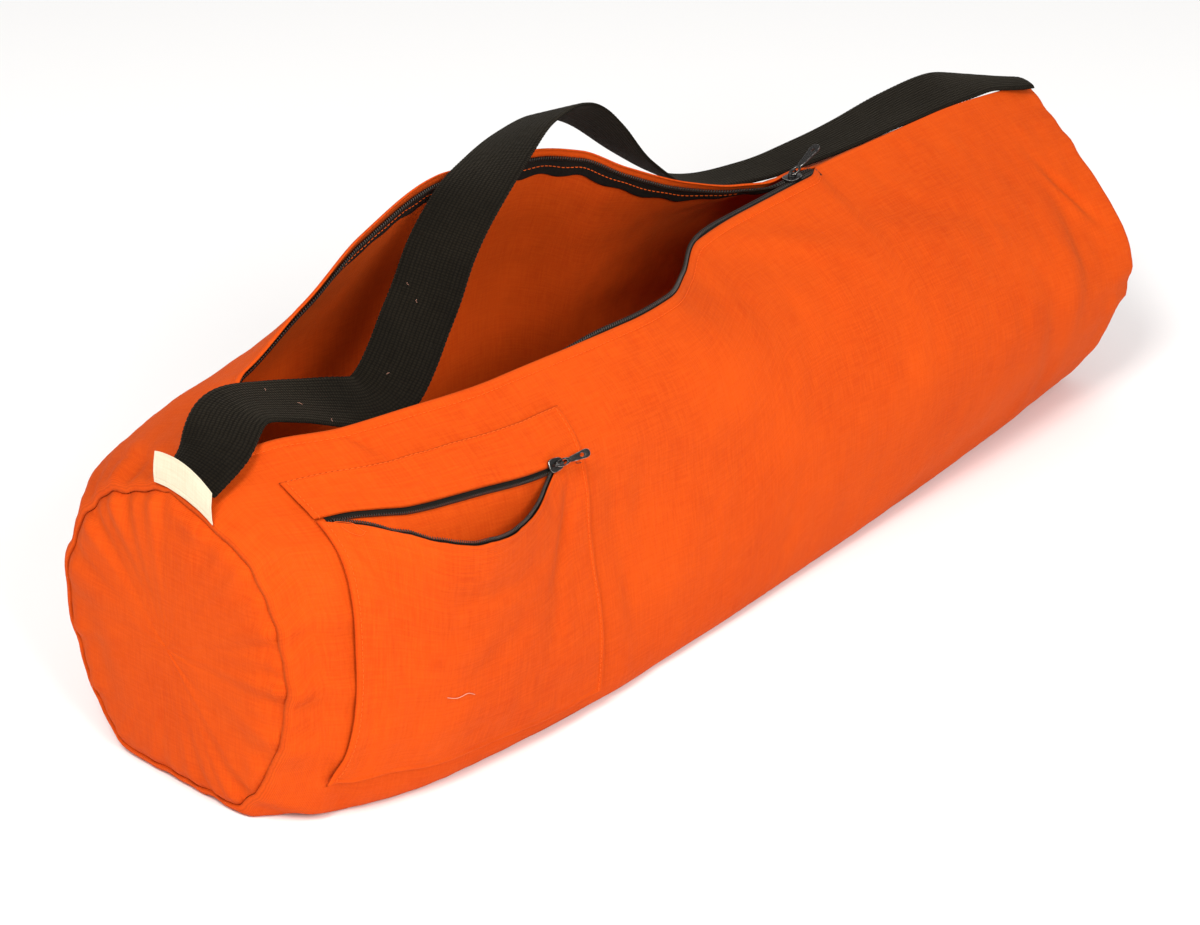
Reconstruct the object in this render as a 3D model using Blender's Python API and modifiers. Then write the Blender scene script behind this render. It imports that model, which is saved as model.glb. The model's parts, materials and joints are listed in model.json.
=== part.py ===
"""A yoga mat bag: a cloth tube on its side, its long zip open, with a zipped pocket and a webbing strap.

X runs along the bag, the pocket side faces -Y, and the origin is at the middle of its flat base.
"""

import math

import bmesh
import bpy
import numpy as np
from mathutils import Matrix

# The cloth tube.
BAG_LENGTH = 0.700
BAG_RADIUS = 0.090
CLOTH = 0.0015
GAP = 0.0004
END_DOME = 0.005
END_RINGS = (1.0, 0.92, 0.75, 0.5, 0.25)
END_TIP = 0.0003
FOLD_FADE = 0.03
STATION_STEP = 0.0155

# The mouth: where its zip starts and ends, measured from the bag's middle.
MOUTH_START = -0.334
MOUTH_END = 0.143

# The main zip.
TAPE_THICK = 0.0007
TAPE_UNDER = 0.011
NEAR_SHOW = 0.0014
FAR_SHOW = -0.0045
FAR_KNEE = 0.0075
TAPE_REST = 0.0013
TAPE_SINK = 0.0012
SHUT_WIDTH = 0.0062
SHUT_BLEND = 0.004
COIL_REST = 0.0007
SLIDER_REST = 0.0020
COIL_RADIUS = 0.0012
COIL_DROP = 0.0004
SLIDER_LENGTH = 0.011
SLIDER_WIDTH = 0.0086
PLATE_THICK = 0.0011
SLIDER_BACK = 0.015
PULL_LENGTH = 0.024
PULL_WIDTH = 0.0060
PULL_THICK = 0.0013
PULL_REST_ANGLE = 24.0
PIN_CLEAR = 0.0005
PIVOT_HEIGHT = 0.0013
BRIDGE_REACH = 0.0027
BRIDGE_HEIGHT = 0.0038
BRIDGE_BAR = 0.0009
BRIDGE_WIDTH = 0.0016
POST_WIDTH = 0.0010
JOIN_DEPTH = 0.0003

# The pocket: distances down the near side are measured from the mouth's near lip.
POCKET_LEFT = -0.328
POCKET_RIGHT = -0.150
POCKET_DROP = 0.0272
POCKET_STRIP = 0.027
POCKET_DEPTH = 0.138
POCKET_BULGE = 0.017
POCKET_SAG = 0.030
POCKET_LEAN = 0.026
POCKET_GAPE_END = 0.88
POCKET_GAPE_LEAN = 0.9
BULGE_ACROSS = 0.8
BULGE_DOWN = 0.7
POCKET_CLOTH = 0.0011
POCKET_REST = 0.00065
POCKET_TAPE = 0.0045
POCKET_TAPE_THICK = 0.0006
POCKET_SHOW = 0.0010
LOWER_TAPE_ROOM = 0.0035
POCKET_SLIDER_SHARE = 0.86
POCKET_COIL_RADIUS = 0.0009
POCKET_SLIDER_LENGTH = 0.009
POCKET_SLIDER_WIDTH = 0.0070
POCKET_PULL_LENGTH = 0.018
POCKET_PULL_WIDTH = 0.0050
POCKET_PULL_ANGLE = 14.0

# The strap and the label.
STRAP_WIDTH = 0.038
STRAP_THICK = 0.0024
STRAP_STEPS = 78
LABEL_LENGTH = 0.042
LABEL_HEIGHT = 0.0165
LABEL_THICK = 0.0008
LABEL_SIDE = -0.0115
LABEL_FRONT = 0.0006
LABEL_LEAN = 0.002
LABEL_ROWS = 5

CURVE_STEPS = 16

# Ridge height and the near and far outlines of the tube, as shares of its radius, at shares of its length.
SIDE_COLUMNS = (
    "along", "ridge", "shoulder_near", "belly_near", "low_near", "foot_near",
    "foot_far", "low_far", "belly_far", "shoulder_far",
)
SIDE_ROWS = (
    (-0.50, 1.98, 0.69, 0.93, 0.79, 0.45, 0.58, 0.90, 1.00, 0.66),
    (-0.46, 2.06, 0.84, 1.00, 0.98, 0.76, 0.72, 0.96, 1.04, 0.92),
    (-0.36, 2.08, 0.94, 1.06, 1.11, 1.01, 0.78, 0.98, 1.06, 1.10),
    (-0.21, 2.06, 0.96, 1.05, 1.14, 1.07, 0.78, 0.98, 1.05, 1.09),
    (-0.07, 2.06, 0.91, 1.05, 1.09, 1.01, 0.78, 0.98, 1.03, 0.99),
    (0.07, 2.09, 0.82, 1.06, 1.05, 0.92, 0.78, 0.98, 1.02, 0.80),
    (0.21, 2.14, 0.73, 1.06, 1.01, 0.81, 0.76, 0.96, 1.01, 0.71),
    (0.36, 2.15, 0.62, 1.04, 0.96, 0.65, 0.66, 0.92, 1.00, 0.64),
    (0.46, 2.10, 0.51, 1.01, 0.87, 0.50, 0.55, 0.86, 0.98, 0.58),
    (0.50, 2.07, 0.46, 0.97, 0.76, 0.39, 0.47, 0.78, 0.96, 0.49),
)
SHOULDER_HEIGHT = 1.69
BELLY_HEIGHT = 1.06
LOW_HEIGHT = 0.47
FOOT_HEIGHT = 0.022
FOOT_INSET = 0.22

# How the two lips of the mouth stand away from the ridge line, at shares of the mouth's length.
MOUTH_COLUMNS = ("along", "near_out", "near_up", "far_out", "far_up")
MOUTH_ROWS = (
    (0.000, 0.000, 0.00, 0.000, 0.00),
    (0.025, 0.090, 0.00, 0.080, 0.01),
    (0.080, 0.210, 0.01, 0.180, 0.02),
    (0.145, 0.370, 0.00, 0.405, 0.10),
    (0.230, 0.460, 0.00, 0.415, 0.34),
    (0.340, 0.550, 0.01, 0.530, 0.56),
    (0.470, 0.550, -0.01, 0.630, 0.685),
    (0.550, 0.550, -0.02, 0.670, 0.62),
    (0.630, 0.500, -0.03, 0.650, 0.59),
    (0.700, 0.300, -0.06, 0.570, 0.49),
    (0.763, 0.110, -0.01, 0.490, 0.29),
    (0.847, 0.070, 0.00, 0.350, 0.08),
    (0.900, 0.070, 0.00, 0.190, 0.01),
    (0.940, 0.070, 0.00, 0.070, 0.00),
    (0.975, 0.070, 0.00, 0.070, 0.00),
    (1.000, 0.000, 0.00, 0.000, 0.00),
)

# Dents and folds of the tube. along and long are shares of its length, round and wide are shares of the
# way round from the near lip to the far one, and depth is a share of its radius.
FOLD_COLUMNS = ("along", "round", "long", "wide", "depth")
FOLD_ROWS = (
    (0.455, 0.20, 0.030, 0.070, 0.060),
    (0.400, 0.12, 0.050, 0.060, 0.030),
    (0.470, 0.33, 0.020, 0.060, -0.025),
    (0.360, 0.30, 0.060, 0.050, 0.025),
    (0.230, 0.22, 0.080, 0.050, -0.020),
    (0.080, 0.12, 0.060, 0.050, 0.045),
    (-0.150, 0.17, 0.030, 0.090, 0.020),
    (-0.435, 0.07, 0.030, 0.060, 0.030),
    (0.380, 0.80, 0.070, 0.080, 0.030),
    (0.050, 0.78, 0.090, 0.060, 0.030),
    (-0.300, 0.80, 0.070, 0.080, 0.025),
)

# The route of the strap's middle from the near end to the far one, and the lean of its width from level.
# along is a share of the bag's length, side and height are shares of its radius, and lean is in degrees.
STRAP_COLUMNS = ("along", "side", "height", "lean")
STRAP_ROWS = (
    (-0.497, -0.11, 2.020, -3.0),
    (-0.468, -0.10, 2.130, -8.0),
    (-0.430, 0.04, 2.205, -12.0),
    (-0.385, 0.06, 2.110, -16.0),
    (-0.340, 0.03, 1.985, -22.0),
    (-0.305, -0.04, 1.930, -24.0),
    (-0.268, 0.03, 2.080, -22.0),
    (-0.230, 0.16, 2.270, -20.0),
    (-0.197, 0.25, 2.495, -16.0),
    (-0.158, 0.335, 2.700, -9.0),
    (-0.106, 0.48, 2.798, 6.0),
    (-0.040, 0.69, 2.812, 20.0),
    (0.012, 0.80, 2.750, 22.0),
    (0.056, 0.85, 2.545, 14.0),
    (0.098, 0.83, 2.250, 12.0),
    (0.142, 0.72, 2.020, 17.0),
    (0.190, 0.49, 2.035, 17.0),
    (0.243, 0.33, 2.098, 14.0),
    (0.300, 0.27, 2.147, 8.0),
    (0.360, 0.235, 2.184, -4.0),
    (0.412, 0.20, 2.205, -10.0),
    (0.455, 0.17, 2.150, 2.0),
    (0.496, 0.10, 2.072, 15.0),
)


def column(columns, rows, name):
    """One named column of a table, as an array."""
    return np.array([row[columns.index(name)] for row in rows])


def smooth_at(places, values, at):
    """Reads a column between its rows on a smooth curve that never overshoots them."""
    steps = np.diff(places)
    slopes = np.diff(values) / steps
    before = slopes[:-1]
    after = slopes[1:]
    same_way = before * after > 0
    safe_before = np.where(same_way, before, 1.0)
    safe_after = np.where(same_way, after, 1.0)
    weight_a = 2 * steps[1:] + steps[:-1]
    weight_b = steps[1:] + 2 * steps[:-1]
    middle = (weight_a + weight_b) / (weight_a / safe_before + weight_b / safe_after)
    tangent = np.concatenate([[slopes[0]], np.where(same_way, middle, 0.0), [slopes[-1]]])
    at = np.clip(at, places[0], places[-1])
    i = np.clip(np.searchsorted(places, at, side="right") - 1, 0, len(steps) - 1)
    t = (at - places[i]) / steps[i]
    start = (1 + 2 * t) * (1 - t) ** 2 * values[i] + t * (1 - t) ** 2 * steps[i] * tangent[i]
    end = t * t * (3 - 2 * t) * values[i + 1] + t * t * (t - 1) * steps[i] * tangent[i + 1]
    return start + end


def side(name, along):
    """How far the tube's outline stands out or up at one place along the bag."""
    share = along / BAG_LENGTH
    places = column(SIDE_COLUMNS, SIDE_ROWS, "along")
    return BAG_RADIUS * smooth_at(places, column(SIDE_COLUMNS, SIDE_ROWS, name), share)


def in_mouth(along):
    return MOUTH_START + 1e-6 < along < MOUTH_END - 1e-6


def mouth(name, along):
    """How far a lip stands from the ridge line at one place along the bag, or nothing beyond the mouth."""
    if not in_mouth(along):
        return 0.0
    share = (along - MOUTH_START) / (MOUTH_END - MOUTH_START)
    places = column(MOUTH_COLUMNS, MOUTH_ROWS, "along")
    return BAG_RADIUS * smooth_at(places, column(MOUTH_COLUMNS, MOUTH_ROWS, name), share)


def blend(first, second, start, end, t):
    """Goes from first at t = start to second at t = end."""
    return ((end - t) * first + (t - start) * second) / (end - start)


def curve_through(points):
    """A centripetal Catmull-Rom curve through the points."""
    ends = np.vstack([2 * points[0] - points[1], points, 2 * points[-1] - points[-2]])
    pieces = []
    for i in range(1, len(ends) - 2):
        four = ends[i - 1 : i + 3]
        chords = np.linalg.norm(np.diff(four, axis=0), axis=1)
        knots = np.concatenate([[0.0], np.cumsum(np.sqrt(chords))])
        t = np.linspace(knots[1], knots[2], CURVE_STEPS, endpoint=False)[:, None]
        first = [blend(four[k], four[k + 1], knots[k], knots[k + 1], t) for k in range(3)]
        second = [blend(first[k], first[k + 1], knots[k], knots[k + 2], t) for k in range(2)]
        pieces.append(blend(second[0], second[1], knots[1], knots[2], t))
    return np.vstack(pieces + [points[-1:]])


def arc_lengths(line):
    return np.concatenate([[0.0], np.cumsum(np.linalg.norm(np.diff(line, axis=0), axis=1))])


def section_line(along):
    """The tube's outline across one station, from the near lip round under the base to the far lip."""
    ridge = side("ridge", along)
    heights = {"shoulder": SHOULDER_HEIGHT, "belly": BELLY_HEIGHT, "low": LOW_HEIGHT, "foot": FOOT_HEIGHT}
    near = [(-side(name + "_near", along), BAG_RADIUS * heights[name]) for name in heights]
    far = [(side(name + "_far", along), BAG_RADIUS * heights[name]) for name in reversed(heights)]
    inset = FOOT_INSET * BAG_RADIUS
    base = [(near[-1][0] + inset, 0.0), (0.0, 0.0), (far[0][0] - inset, 0.0)]
    near_lip = (-mouth("near_out", along), ridge + mouth("near_up", along))
    far_lip = (mouth("far_out", along), ridge + mouth("far_up", along))
    line = curve_through(np.array([near_lip] + near + base + far + [far_lip]))
    line[:, 1] = np.maximum(line[:, 1], 0.0)
    return line


def places_round(lengths):
    """Where the grid's columns lie round a section: tapes, pocket edges, base and far side."""
    total = lengths[-1]
    strip_bottom = POCKET_DROP + POCKET_STRIP
    pocket_bottom = strip_bottom + POCKET_DEPTH
    foot_near, base_near, base_far, foot_far = lengths[[CURVE_STEPS * k for k in (4, 5, 7, 8)]]
    near = [0.0, TAPE_UNDER, POCKET_DROP, strip_bottom]
    panel = np.linspace(strip_bottom, pocket_bottom, 8)[1:]
    base = np.linspace(base_near, base_far, 5)
    far = np.linspace(foot_far, total - TAPE_UNDER, 11)
    return np.concatenate([near, panel, [foot_near], base, far, [total]])


TAPE_COLUMN = 1
DROP_COLUMN = 2
STRIP_COLUMN = 3
PANEL_COLUMN = 10


def stations():
    """The places along the bag of the grid's rows, with a row at each edge of the mouth and the pocket."""
    slider_front = MOUTH_END - SLIDER_BACK - SLIDER_LENGTH
    half = BAG_LENGTH / 2
    marks = [-half, MOUTH_START, POCKET_LEFT, POCKET_RIGHT, slider_front, MOUTH_END, half]
    places = [marks[0]]
    for low, high in zip(marks[:-1], marks[1:]):
        count = max(1, round((high - low) / STATION_STEP))
        places.extend(np.linspace(low, high, count + 1)[1:])
    return np.array(places)


def across_normals(grid):
    """Unit normals of the grid's sections in their own planes, pointing out of the bag."""
    step = np.gradient(grid[:, :, 1:], axis=1)
    step /= np.linalg.norm(step, axis=2, keepdims=True)
    normal = np.zeros_like(grid)
    normal[:, :, 1] = step[:, :, 1]
    normal[:, :, 2] = -step[:, :, 0]
    return normal


def fold_depth(along, share_round):
    """How far the folds push the cloth in at each place of the grid."""
    depth = 0.0
    for row in FOLD_ROWS:
        fold = dict(zip(FOLD_COLUMNS, row))
        far_along = (along / BAG_LENGTH - fold["along"]) / fold["long"]
        far_round = (share_round - fold["round"]) / fold["wide"]
        depth = depth + fold["depth"] * BAG_RADIUS * np.exp(-(far_along**2) - far_round**2)
    return depth


def body_grid():
    """The outer face of the cloth tube, as rows along the bag of points round it."""
    places = stations()
    rows = []
    shares = []
    for along in places:
        line = section_line(along)
        lengths = arc_lengths(line)
        at = places_round(lengths)
        across, height = (np.interp(at, lengths, line[:, k]) for k in range(2))
        rows.append(np.stack([np.full(len(at), along), across, height], 1))
        shares.append(at / lengths[-1])
    grid = np.array(rows)
    shares = np.array(shares)
    depth = fold_depth(places[:, None], shares)
    on_base = grid[:, :, 2] < 1e-6
    ends = np.minimum(shares, 1 - shares) / FOLD_FADE
    depth = np.where(on_base, 0.0, depth * np.clip(ends, 0, 1))
    grid = grid - across_normals(grid) * depth[:, :, None]
    grid[:, :, 2] = np.maximum(grid[:, :, 2], 0.0)
    return places, grid


def find_row(places, along):
    return int(np.argmin(np.abs(places - along)))


def clear_scene():
    for old in list(bpy.data.objects):
        bpy.data.objects.remove(old, do_unlink=True)
    for old in list(bpy.data.collections):
        bpy.data.collections.remove(old)


def new_collection(name, hidden):
    made = bpy.data.collections.new(name)
    made.hide_render = hidden
    bpy.context.scene.collection.children.link(made)
    return made


def finish(name, color, roughness, metallic=0.0):
    material = bpy.data.materials.new(name)
    material.use_nodes = True
    shader = material.node_tree.nodes["Principled BSDF"]
    shader.inputs["Base Color"].default_value = (*color, 1.0)
    shader.inputs["Roughness"].default_value = roughness
    shader.inputs["Metallic"].default_value = metallic
    return material


def add_object(name, mesh, material, collection):
    made = bpy.data.objects.new(name, mesh)
    mesh.materials.clear()
    mesh.materials.append(material)
    collection.objects.link(made)
    return made


def grid_mesh(name, grid, join_ends=None, close_round=False):
    """A mesh of quads over rows of points. join_ends says which rows have their two lips made one."""
    rows, columns = grid.shape[:2]
    shape = bmesh.new()
    corner = np.empty((rows, columns), dtype=object)
    for i in range(rows):
        for j in range(columns):
            last_joined = join_ends is not None and join_ends[i] and j == columns - 1
            corner[i, j] = corner[i, 0] if last_joined else shape.verts.new(grid[i, j])
    around = columns if close_round else columns - 1
    for i in range(rows - 1):
        for j in range(around):
            k = (j + 1) % columns
            shape.faces.new((corner[i, j], corner[i + 1, j], corner[i + 1, k], corner[i, k]))
    mesh = bpy.data.meshes.new(name)
    shape.to_mesh(mesh)
    shape.free()
    mesh.shade_smooth()
    return mesh


def face_outward(shape):
    """Turns a closed shape's faces round when they all point inwards."""
    if shape.calc_volume(signed=True) < 0:
        bmesh.ops.reverse_faces(shape, faces=shape.faces)


def closed_tube_mesh(name, rings):
    """A closed body from rings of points, each joined to the next, with a flat cap at both ends."""
    mesh = grid_mesh(name, rings, close_round=True)
    shape = bmesh.new()
    shape.from_mesh(mesh)
    shape.verts.ensure_lookup_table()
    around = rings.shape[1]
    last = len(shape.verts) - around
    shape.faces.new([shape.verts[j] for j in range(around)])
    shape.faces.new([shape.verts[last + j] for j in reversed(range(around))])
    face_outward(shape)
    shape.to_mesh(mesh)
    shape.free()
    mesh.set_sharp_from_angle(angle=math.radians(40))
    return mesh


def thicken(made, thickness, outward):
    wall = made.modifiers.new("Wall", "SOLIDIFY")
    wall.thickness = thickness
    wall.offset = 1.0 if outward else -1.0
    wall.use_even_offset = True
    return made


def slab_between(name, outer, inner):
    """A closed wall between two matching grids: the outer face, the inner face and the rim."""
    rows, columns = outer.shape[:2]
    shape = bmesh.new()
    sheets = []
    for grid in (outer, inner):
        corner = np.empty((rows, columns), dtype=object)
        for i in range(rows):
            for j in range(columns):
                corner[i, j] = shape.verts.new(grid[i, j])
        sheets.append(corner)
    top, back = sheets
    for i in range(rows - 1):
        for j in range(columns - 1):
            shape.faces.new((top[i, j], top[i + 1, j], top[i + 1, j + 1], top[i, j + 1]))
            shape.faces.new((back[i, j + 1], back[i + 1, j + 1], back[i + 1, j], back[i, j]))
    rim = [(i, 0) for i in range(rows)] + [(rows - 1, j) for j in range(1, columns)]
    rim += [(i, columns - 1) for i in reversed(range(rows - 1))]
    rim += [(0, j) for j in reversed(range(1, columns - 1))]
    for (a, b), (c, d) in zip(rim, rim[1:] + rim[:1]):
        shape.faces.new((back[a, b], back[c, d], top[c, d], top[a, b]))
    face_outward(shape)
    mesh = bpy.data.meshes.new(name)
    shape.to_mesh(mesh)
    shape.free()
    mesh.shade_smooth()
    mesh.set_sharp_from_angle(angle=math.radians(50))
    return mesh


def make_body(places, grid, material, collection):
    joined = [not in_mouth(along) for along in places]
    mesh = grid_mesh("body_panel", grid, join_ends=joined)
    shape = bmesh.new()
    shape.from_mesh(mesh)
    bmesh.ops.recalc_face_normals(shape, faces=shape.faces)
    shape.to_mesh(mesh)
    shape.free()
    return thicken(add_object("body_panel", mesh, material, collection), CLOTH, outward=False)


def make_end(name, ring, way, material, collection):
    """A round end: rings that shrink from the tube's inner edge to the middle, domed outwards."""
    ring = ring[:-1]
    step = np.roll(ring, -1, axis=0) - np.roll(ring, 1, axis=0)
    inward = np.stack([np.zeros(len(ring)), step[:, 2], -step[:, 1]], 1)
    inward /= np.linalg.norm(inward, axis=1, keepdims=True)
    centre = ring.mean(axis=0)
    if ((centre - ring) * inward).sum() < 0:
        inward = -inward
    rim = ring + inward * (CLOTH + 2 * GAP)
    rings = []
    for share in END_RINGS:
        level = centre + (rim - centre) * share
        level[:, 0] = ring[:, 0] + way * (END_DOME * (1 - share**2) - CLOTH)
        rings.append(level)
    shape = bmesh.new()
    outer = [[shape.verts.new(point) for point in level] for level in rings]
    tip = rings[-1].mean(axis=0)
    top = shape.verts.new(tip + np.array([way * END_TIP, 0, 0]))
    around = len(ring)
    for wide, narrow in zip(outer[:-1], outer[1:]):
        for j in range(around):
            k = (j + 1) % around
            shape.faces.new((wide[j], wide[k], narrow[k], narrow[j]))
    for j in range(around):
        shape.faces.new((outer[-1][j], outer[-1][(j + 1) % around], top))
    bmesh.ops.recalc_face_normals(shape, faces=shape.faces)
    facing = sum(face.normal.x * face.calc_area() for face in shape.faces)
    if facing * way < 0:
        bmesh.ops.reverse_faces(shape, faces=shape.faces)
    mesh = bpy.data.meshes.new(name)
    shape.to_mesh(mesh)
    shape.free()
    mesh.shade_smooth()
    return thicken(add_object(name, mesh, material, collection), CLOTH, outward=False)


def lip_frames(places, grid, near):
    """For each row of the zip, which starts one row inside the mouth: the lip, and the ways past it and inward."""
    rows = [i for i, along in enumerate(places) if in_mouth(along)][1:]
    lip_column = 0 if near else grid.shape[1] - 1
    under_column = TAPE_COLUMN if near else grid.shape[1] - 1 - TAPE_COLUMN
    lip = grid[rows, lip_column]
    under = grid[rows, under_column]
    past = lip - under
    past[:, 0] = 0
    past /= np.linalg.norm(past, axis=1, keepdims=True)
    turn = 1.0 if near else -1.0
    inward = np.stack([np.zeros(len(rows)), turn * past[:, 2], -turn * past[:, 1]], 1)
    return lip, under, past, inward


def closed_share(lip):
    """1 at each row where the zip is shut, 0 where the mouth stands open, with a smooth change between."""
    return np.clip(1.0 - (np.abs(lip[:, 1]) - SHUT_WIDTH) / SHUT_BLEND, 0.0, 1.0)[:, None]


def tape_edge(lip, past, inward, near):
    """The tape's free edge: just past the near lip, inside the far lip's fold, and level in the closed part."""
    ridge_side = -1.0 if near else 1.0
    show = NEAR_SHOW if near else FAR_SHOW
    sink = TAPE_SINK if near else CLOTH + TAPE_REST
    free = lip + past * show + inward * sink
    shut = lip + inward * TAPE_SINK
    shut[:, 1] = ridge_side * (POST_WIDTH / 2 + GAP + 2 * COIL_RADIUS + COIL_REST)
    closed = closed_share(lip)
    return closed * shut + (1 - closed) * free


def make_main_zip(places, grid, near, materials, collection):
    """One side of the zip: its tape, bent at a knee, and the coil along the tape's edge."""
    tag = "near" if near else "far"
    lip, under, past, inward = lip_frames(places, grid, near)
    closed = closed_share(lip)
    edge = tape_edge(lip, past, inward, near)
    depth = inward * (CLOTH + TAPE_REST)
    knee = lip + depth - past * (0.0 if near else FAR_KNEE)
    outer = np.stack([under + depth, knee, edge], 1)
    inner = outer + inward[:, None, :] * TAPE_THICK
    mesh = slab_between("main_zip_tape_" + tag, outer, inner)
    add_object("main_zip_tape_" + tag, mesh, materials["tape"], collection)
    toward = edge - knee
    toward /= np.linalg.norm(toward, axis=1, keepdims=True)
    level = np.array([[0.0, 1.0 if near else -1.0, 0.0]])
    toward = closed * level + (1 - closed) * toward
    drop = 0.0 if near else (1 - closed) * COIL_DROP
    route = edge + toward * (COIL_RADIUS + COIL_REST) + inward * (TAPE_THICK / 2 + drop)
    return make_rod("main_zip_coil_" + tag, route, COIL_RADIUS, materials["coil"], collection)


def make_rod(name, route, radius, material, collection):
    """A round rod along a route: a poly curve with a bevel and filled caps."""
    curve = bpy.data.curves.new(name, "CURVE")
    curve.dimensions = "3D"
    curve.bevel_depth = radius
    curve.bevel_resolution = 1
    curve.use_fill_caps = True
    line = curve.splines.new("POLY")
    line.points.add(len(route) - 1)
    for point, place in zip(line.points, route):
        point.co = (*place, 1.0)
    curve.materials.append(material)
    made = bpy.data.objects.new(name, curve)
    collection.objects.link(made)
    return made


def slide_rows(grid, left_at):
    """The same grid with its first row moved along to left_at, one place a column, and the rest in step."""
    along = grid[:, :, 0]
    moved = np.empty_like(grid)
    for j in range(grid.shape[1]):
        share = (along[:, j] - along[0, j]) / (along[-1, j] - along[0, j])
        new_along = left_at[j] + share * (along[-1, j] - left_at[j])
        for k in range(3):
            moved[:, j, k] = np.interp(new_along, along[:, j], grid[:, j, k])
    return moved


def gape(across):
    """How far the pocket's mouth gapes along its zip, from 0 to 1 and back to 0 where the slider stands."""
    share = np.clip(across / POCKET_GAPE_END, 0, 1)
    return np.sin(math.pi * share**POCKET_GAPE_LEAN)


def pocket_grids(places, grid):
    """The tube's face under the pocket, the ways out from it and down it, and the shares across."""
    rows = slice(find_row(places, POCKET_LEFT), find_row(places, POCKET_RIGHT) + 1)
    columns = slice(DROP_COLUMN, PANEL_COLUMN + 1)
    under = grid[rows, columns]
    out = across_normals(grid)[rows, columns]
    lean = POCKET_LEAN * np.linspace(1, 0, under.shape[1]) ** 2
    left_at = under[0, :, 0] + lean
    moved = slide_rows(under, left_at)
    down = np.gradient(moved, axis=1)
    down /= np.linalg.norm(down, axis=2, keepdims=True)
    across = (moved[:, :, 0] - moved[:1, :, 0]) / (moved[-1:, :, 0] - moved[:1, :, 0])
    return moved, out, down, across


def make_pocket(places, grid, materials, collection):
    under, out, down, across = pocket_grids(places, grid)
    split = STRIP_COLUMN - DROP_COLUMN

    strip = under[:, : split + 1] + out[:, : split + 1] * POCKET_REST
    lifted = strip + out[:, : split + 1] * POCKET_CLOTH
    strip_mesh = slab_between("pocket_strip", lifted, strip)
    add_object("pocket_strip", strip_mesh, materials["cloth"], collection)

    panel_out = out[:, split:]
    share_down = np.linspace(0, 1, panel_out.shape[1])[None, :]
    open_share = gape(across[:, split:])
    full = np.sin(math.pi * across[:, split:]) ** BULGE_ACROSS
    by_lip = (1 - share_down) ** 2
    low_part = full * (1 - by_lip) * (1 - share_down) ** BULGE_DOWN
    stand = POCKET_REST + POCKET_BULGE * (open_share * by_lip + low_part)
    slide = POCKET_SAG * open_share * by_lip + 2 * GAP * (share_down == 0)
    panel = under[:, split:] + panel_out * stand[:, :, None] + down[:, split:] * slide[:, :, None]
    front = panel + panel_out * POCKET_CLOTH
    panel_mesh = slab_between("pocket_panel", front, panel)
    add_object("pocket_panel", panel_mesh, materials["cloth"], collection)
    make_pocket_zip(under, out, down, panel, materials, collection)


def make_pocket_zip(under, out, down, panel, materials, collection):
    """The upper tape lies on the tube below the strip, the lower one stands inside the panel's open lip."""
    split = STRIP_COLUMN - DROP_COLUMN
    line = under[:, split]
    lift = out[:, split]
    fall = down[:, split]
    top = line + fall * 2 * GAP + lift * POCKET_REST
    edge = line + fall * POCKET_TAPE + lift * POCKET_REST
    stood = ((panel[:, 0] - line) * lift).sum(axis=1)
    slid = ((panel[:, 0] - line) * fall).sum(axis=1)
    clear = (stood > LOWER_TAPE_ROOM) & (slid > POCKET_TAPE + 3 * POCKET_COIL_RADIUS)
    rows = np.flatnonzero(clear)
    rows = slice(rows[0], rows[-1] + 1)
    inner = np.stack([top, edge], 1)[rows]
    outer = inner + lift[rows, None] * POCKET_TAPE_THICK
    mesh = slab_between("pocket_zip_tape_upper", outer, inner)
    add_object("pocket_zip_tape_upper", mesh, materials["tape"], collection)
    route = edge + lift * (POCKET_TAPE_THICK + POCKET_COIL_RADIUS + GAP)
    make_rod("pocket_zip_coil_upper", route[rows], POCKET_COIL_RADIUS, materials["coil"], collection)

    lip = panel[rows, 0]
    below = panel[rows, 1]
    rise = lip - below
    rise /= np.linalg.norm(rise, axis=1, keepdims=True)
    back = -lift[rows]
    top = lip + rise * POCKET_SHOW + back * TAPE_REST
    foot = lip - rise * POCKET_TAPE + back * TAPE_REST
    outer = np.stack([top, foot], 1)
    inner = outer + back[:, None] * POCKET_TAPE_THICK
    mesh = slab_between("pocket_zip_tape_lower", outer, inner)
    add_object("pocket_zip_tape_lower", mesh, materials["tape"], collection)
    route = top + rise * (POCKET_COIL_RADIUS + GAP)
    make_rod("pocket_zip_coil_lower", route, POCKET_COIL_RADIUS, materials["coil"], collection)


def plate_outline(length, width):
    """A slider's plate from above: wide at its open front, at -X, and narrower behind."""
    half = width / 2
    return [
        (-0.50 * length, -0.60 * half),
        (-0.30 * length, -half),
        (0.15 * length, -half),
        (0.50 * length, -0.72 * half),
        (0.50 * length, 0.72 * half),
        (0.15 * length, half),
        (-0.30 * length, half),
        (-0.50 * length, 0.60 * half),
    ]


def extruded(name, outline, low, high, upright=False):
    """A closed mesh from an outline: in the level plane, or in the plane of X and Z when upright."""
    shape = bmesh.new()
    corners = []
    for a, b in outline:
        place = (a, low, b) if upright else (a, b, low)
        corners.append(shape.verts.new(place))
    face = shape.faces.new(corners)
    grown = bmesh.ops.extrude_face_region(shape, geom=[face])
    rise = (0.0, high - low, 0.0) if upright else (0.0, 0.0, high - low)
    lifted = [item for item in grown["geom"] if isinstance(item, bmesh.types.BMVert)]
    bmesh.ops.translate(shape, verts=lifted, vec=rise)
    face_outward(shape)
    mesh = bpy.data.meshes.new(name)
    shape.to_mesh(mesh)
    shape.free()
    return mesh


def arch_outline(reach, height, bar, base):
    """The bridge on a slider, from the side: two legs and a bar, with room under it for the pull."""
    corner = 0.35 * reach
    return [
        (-reach, base), (-reach, base + height - corner), (-reach + corner, base + height),
        (reach - corner, base + height), (reach, base + height - corner), (reach, base),
        (reach - bar, base), (reach - bar, base + height - bar),
        (-reach + bar, base + height - bar), (-reach + bar, base),
    ]


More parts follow.
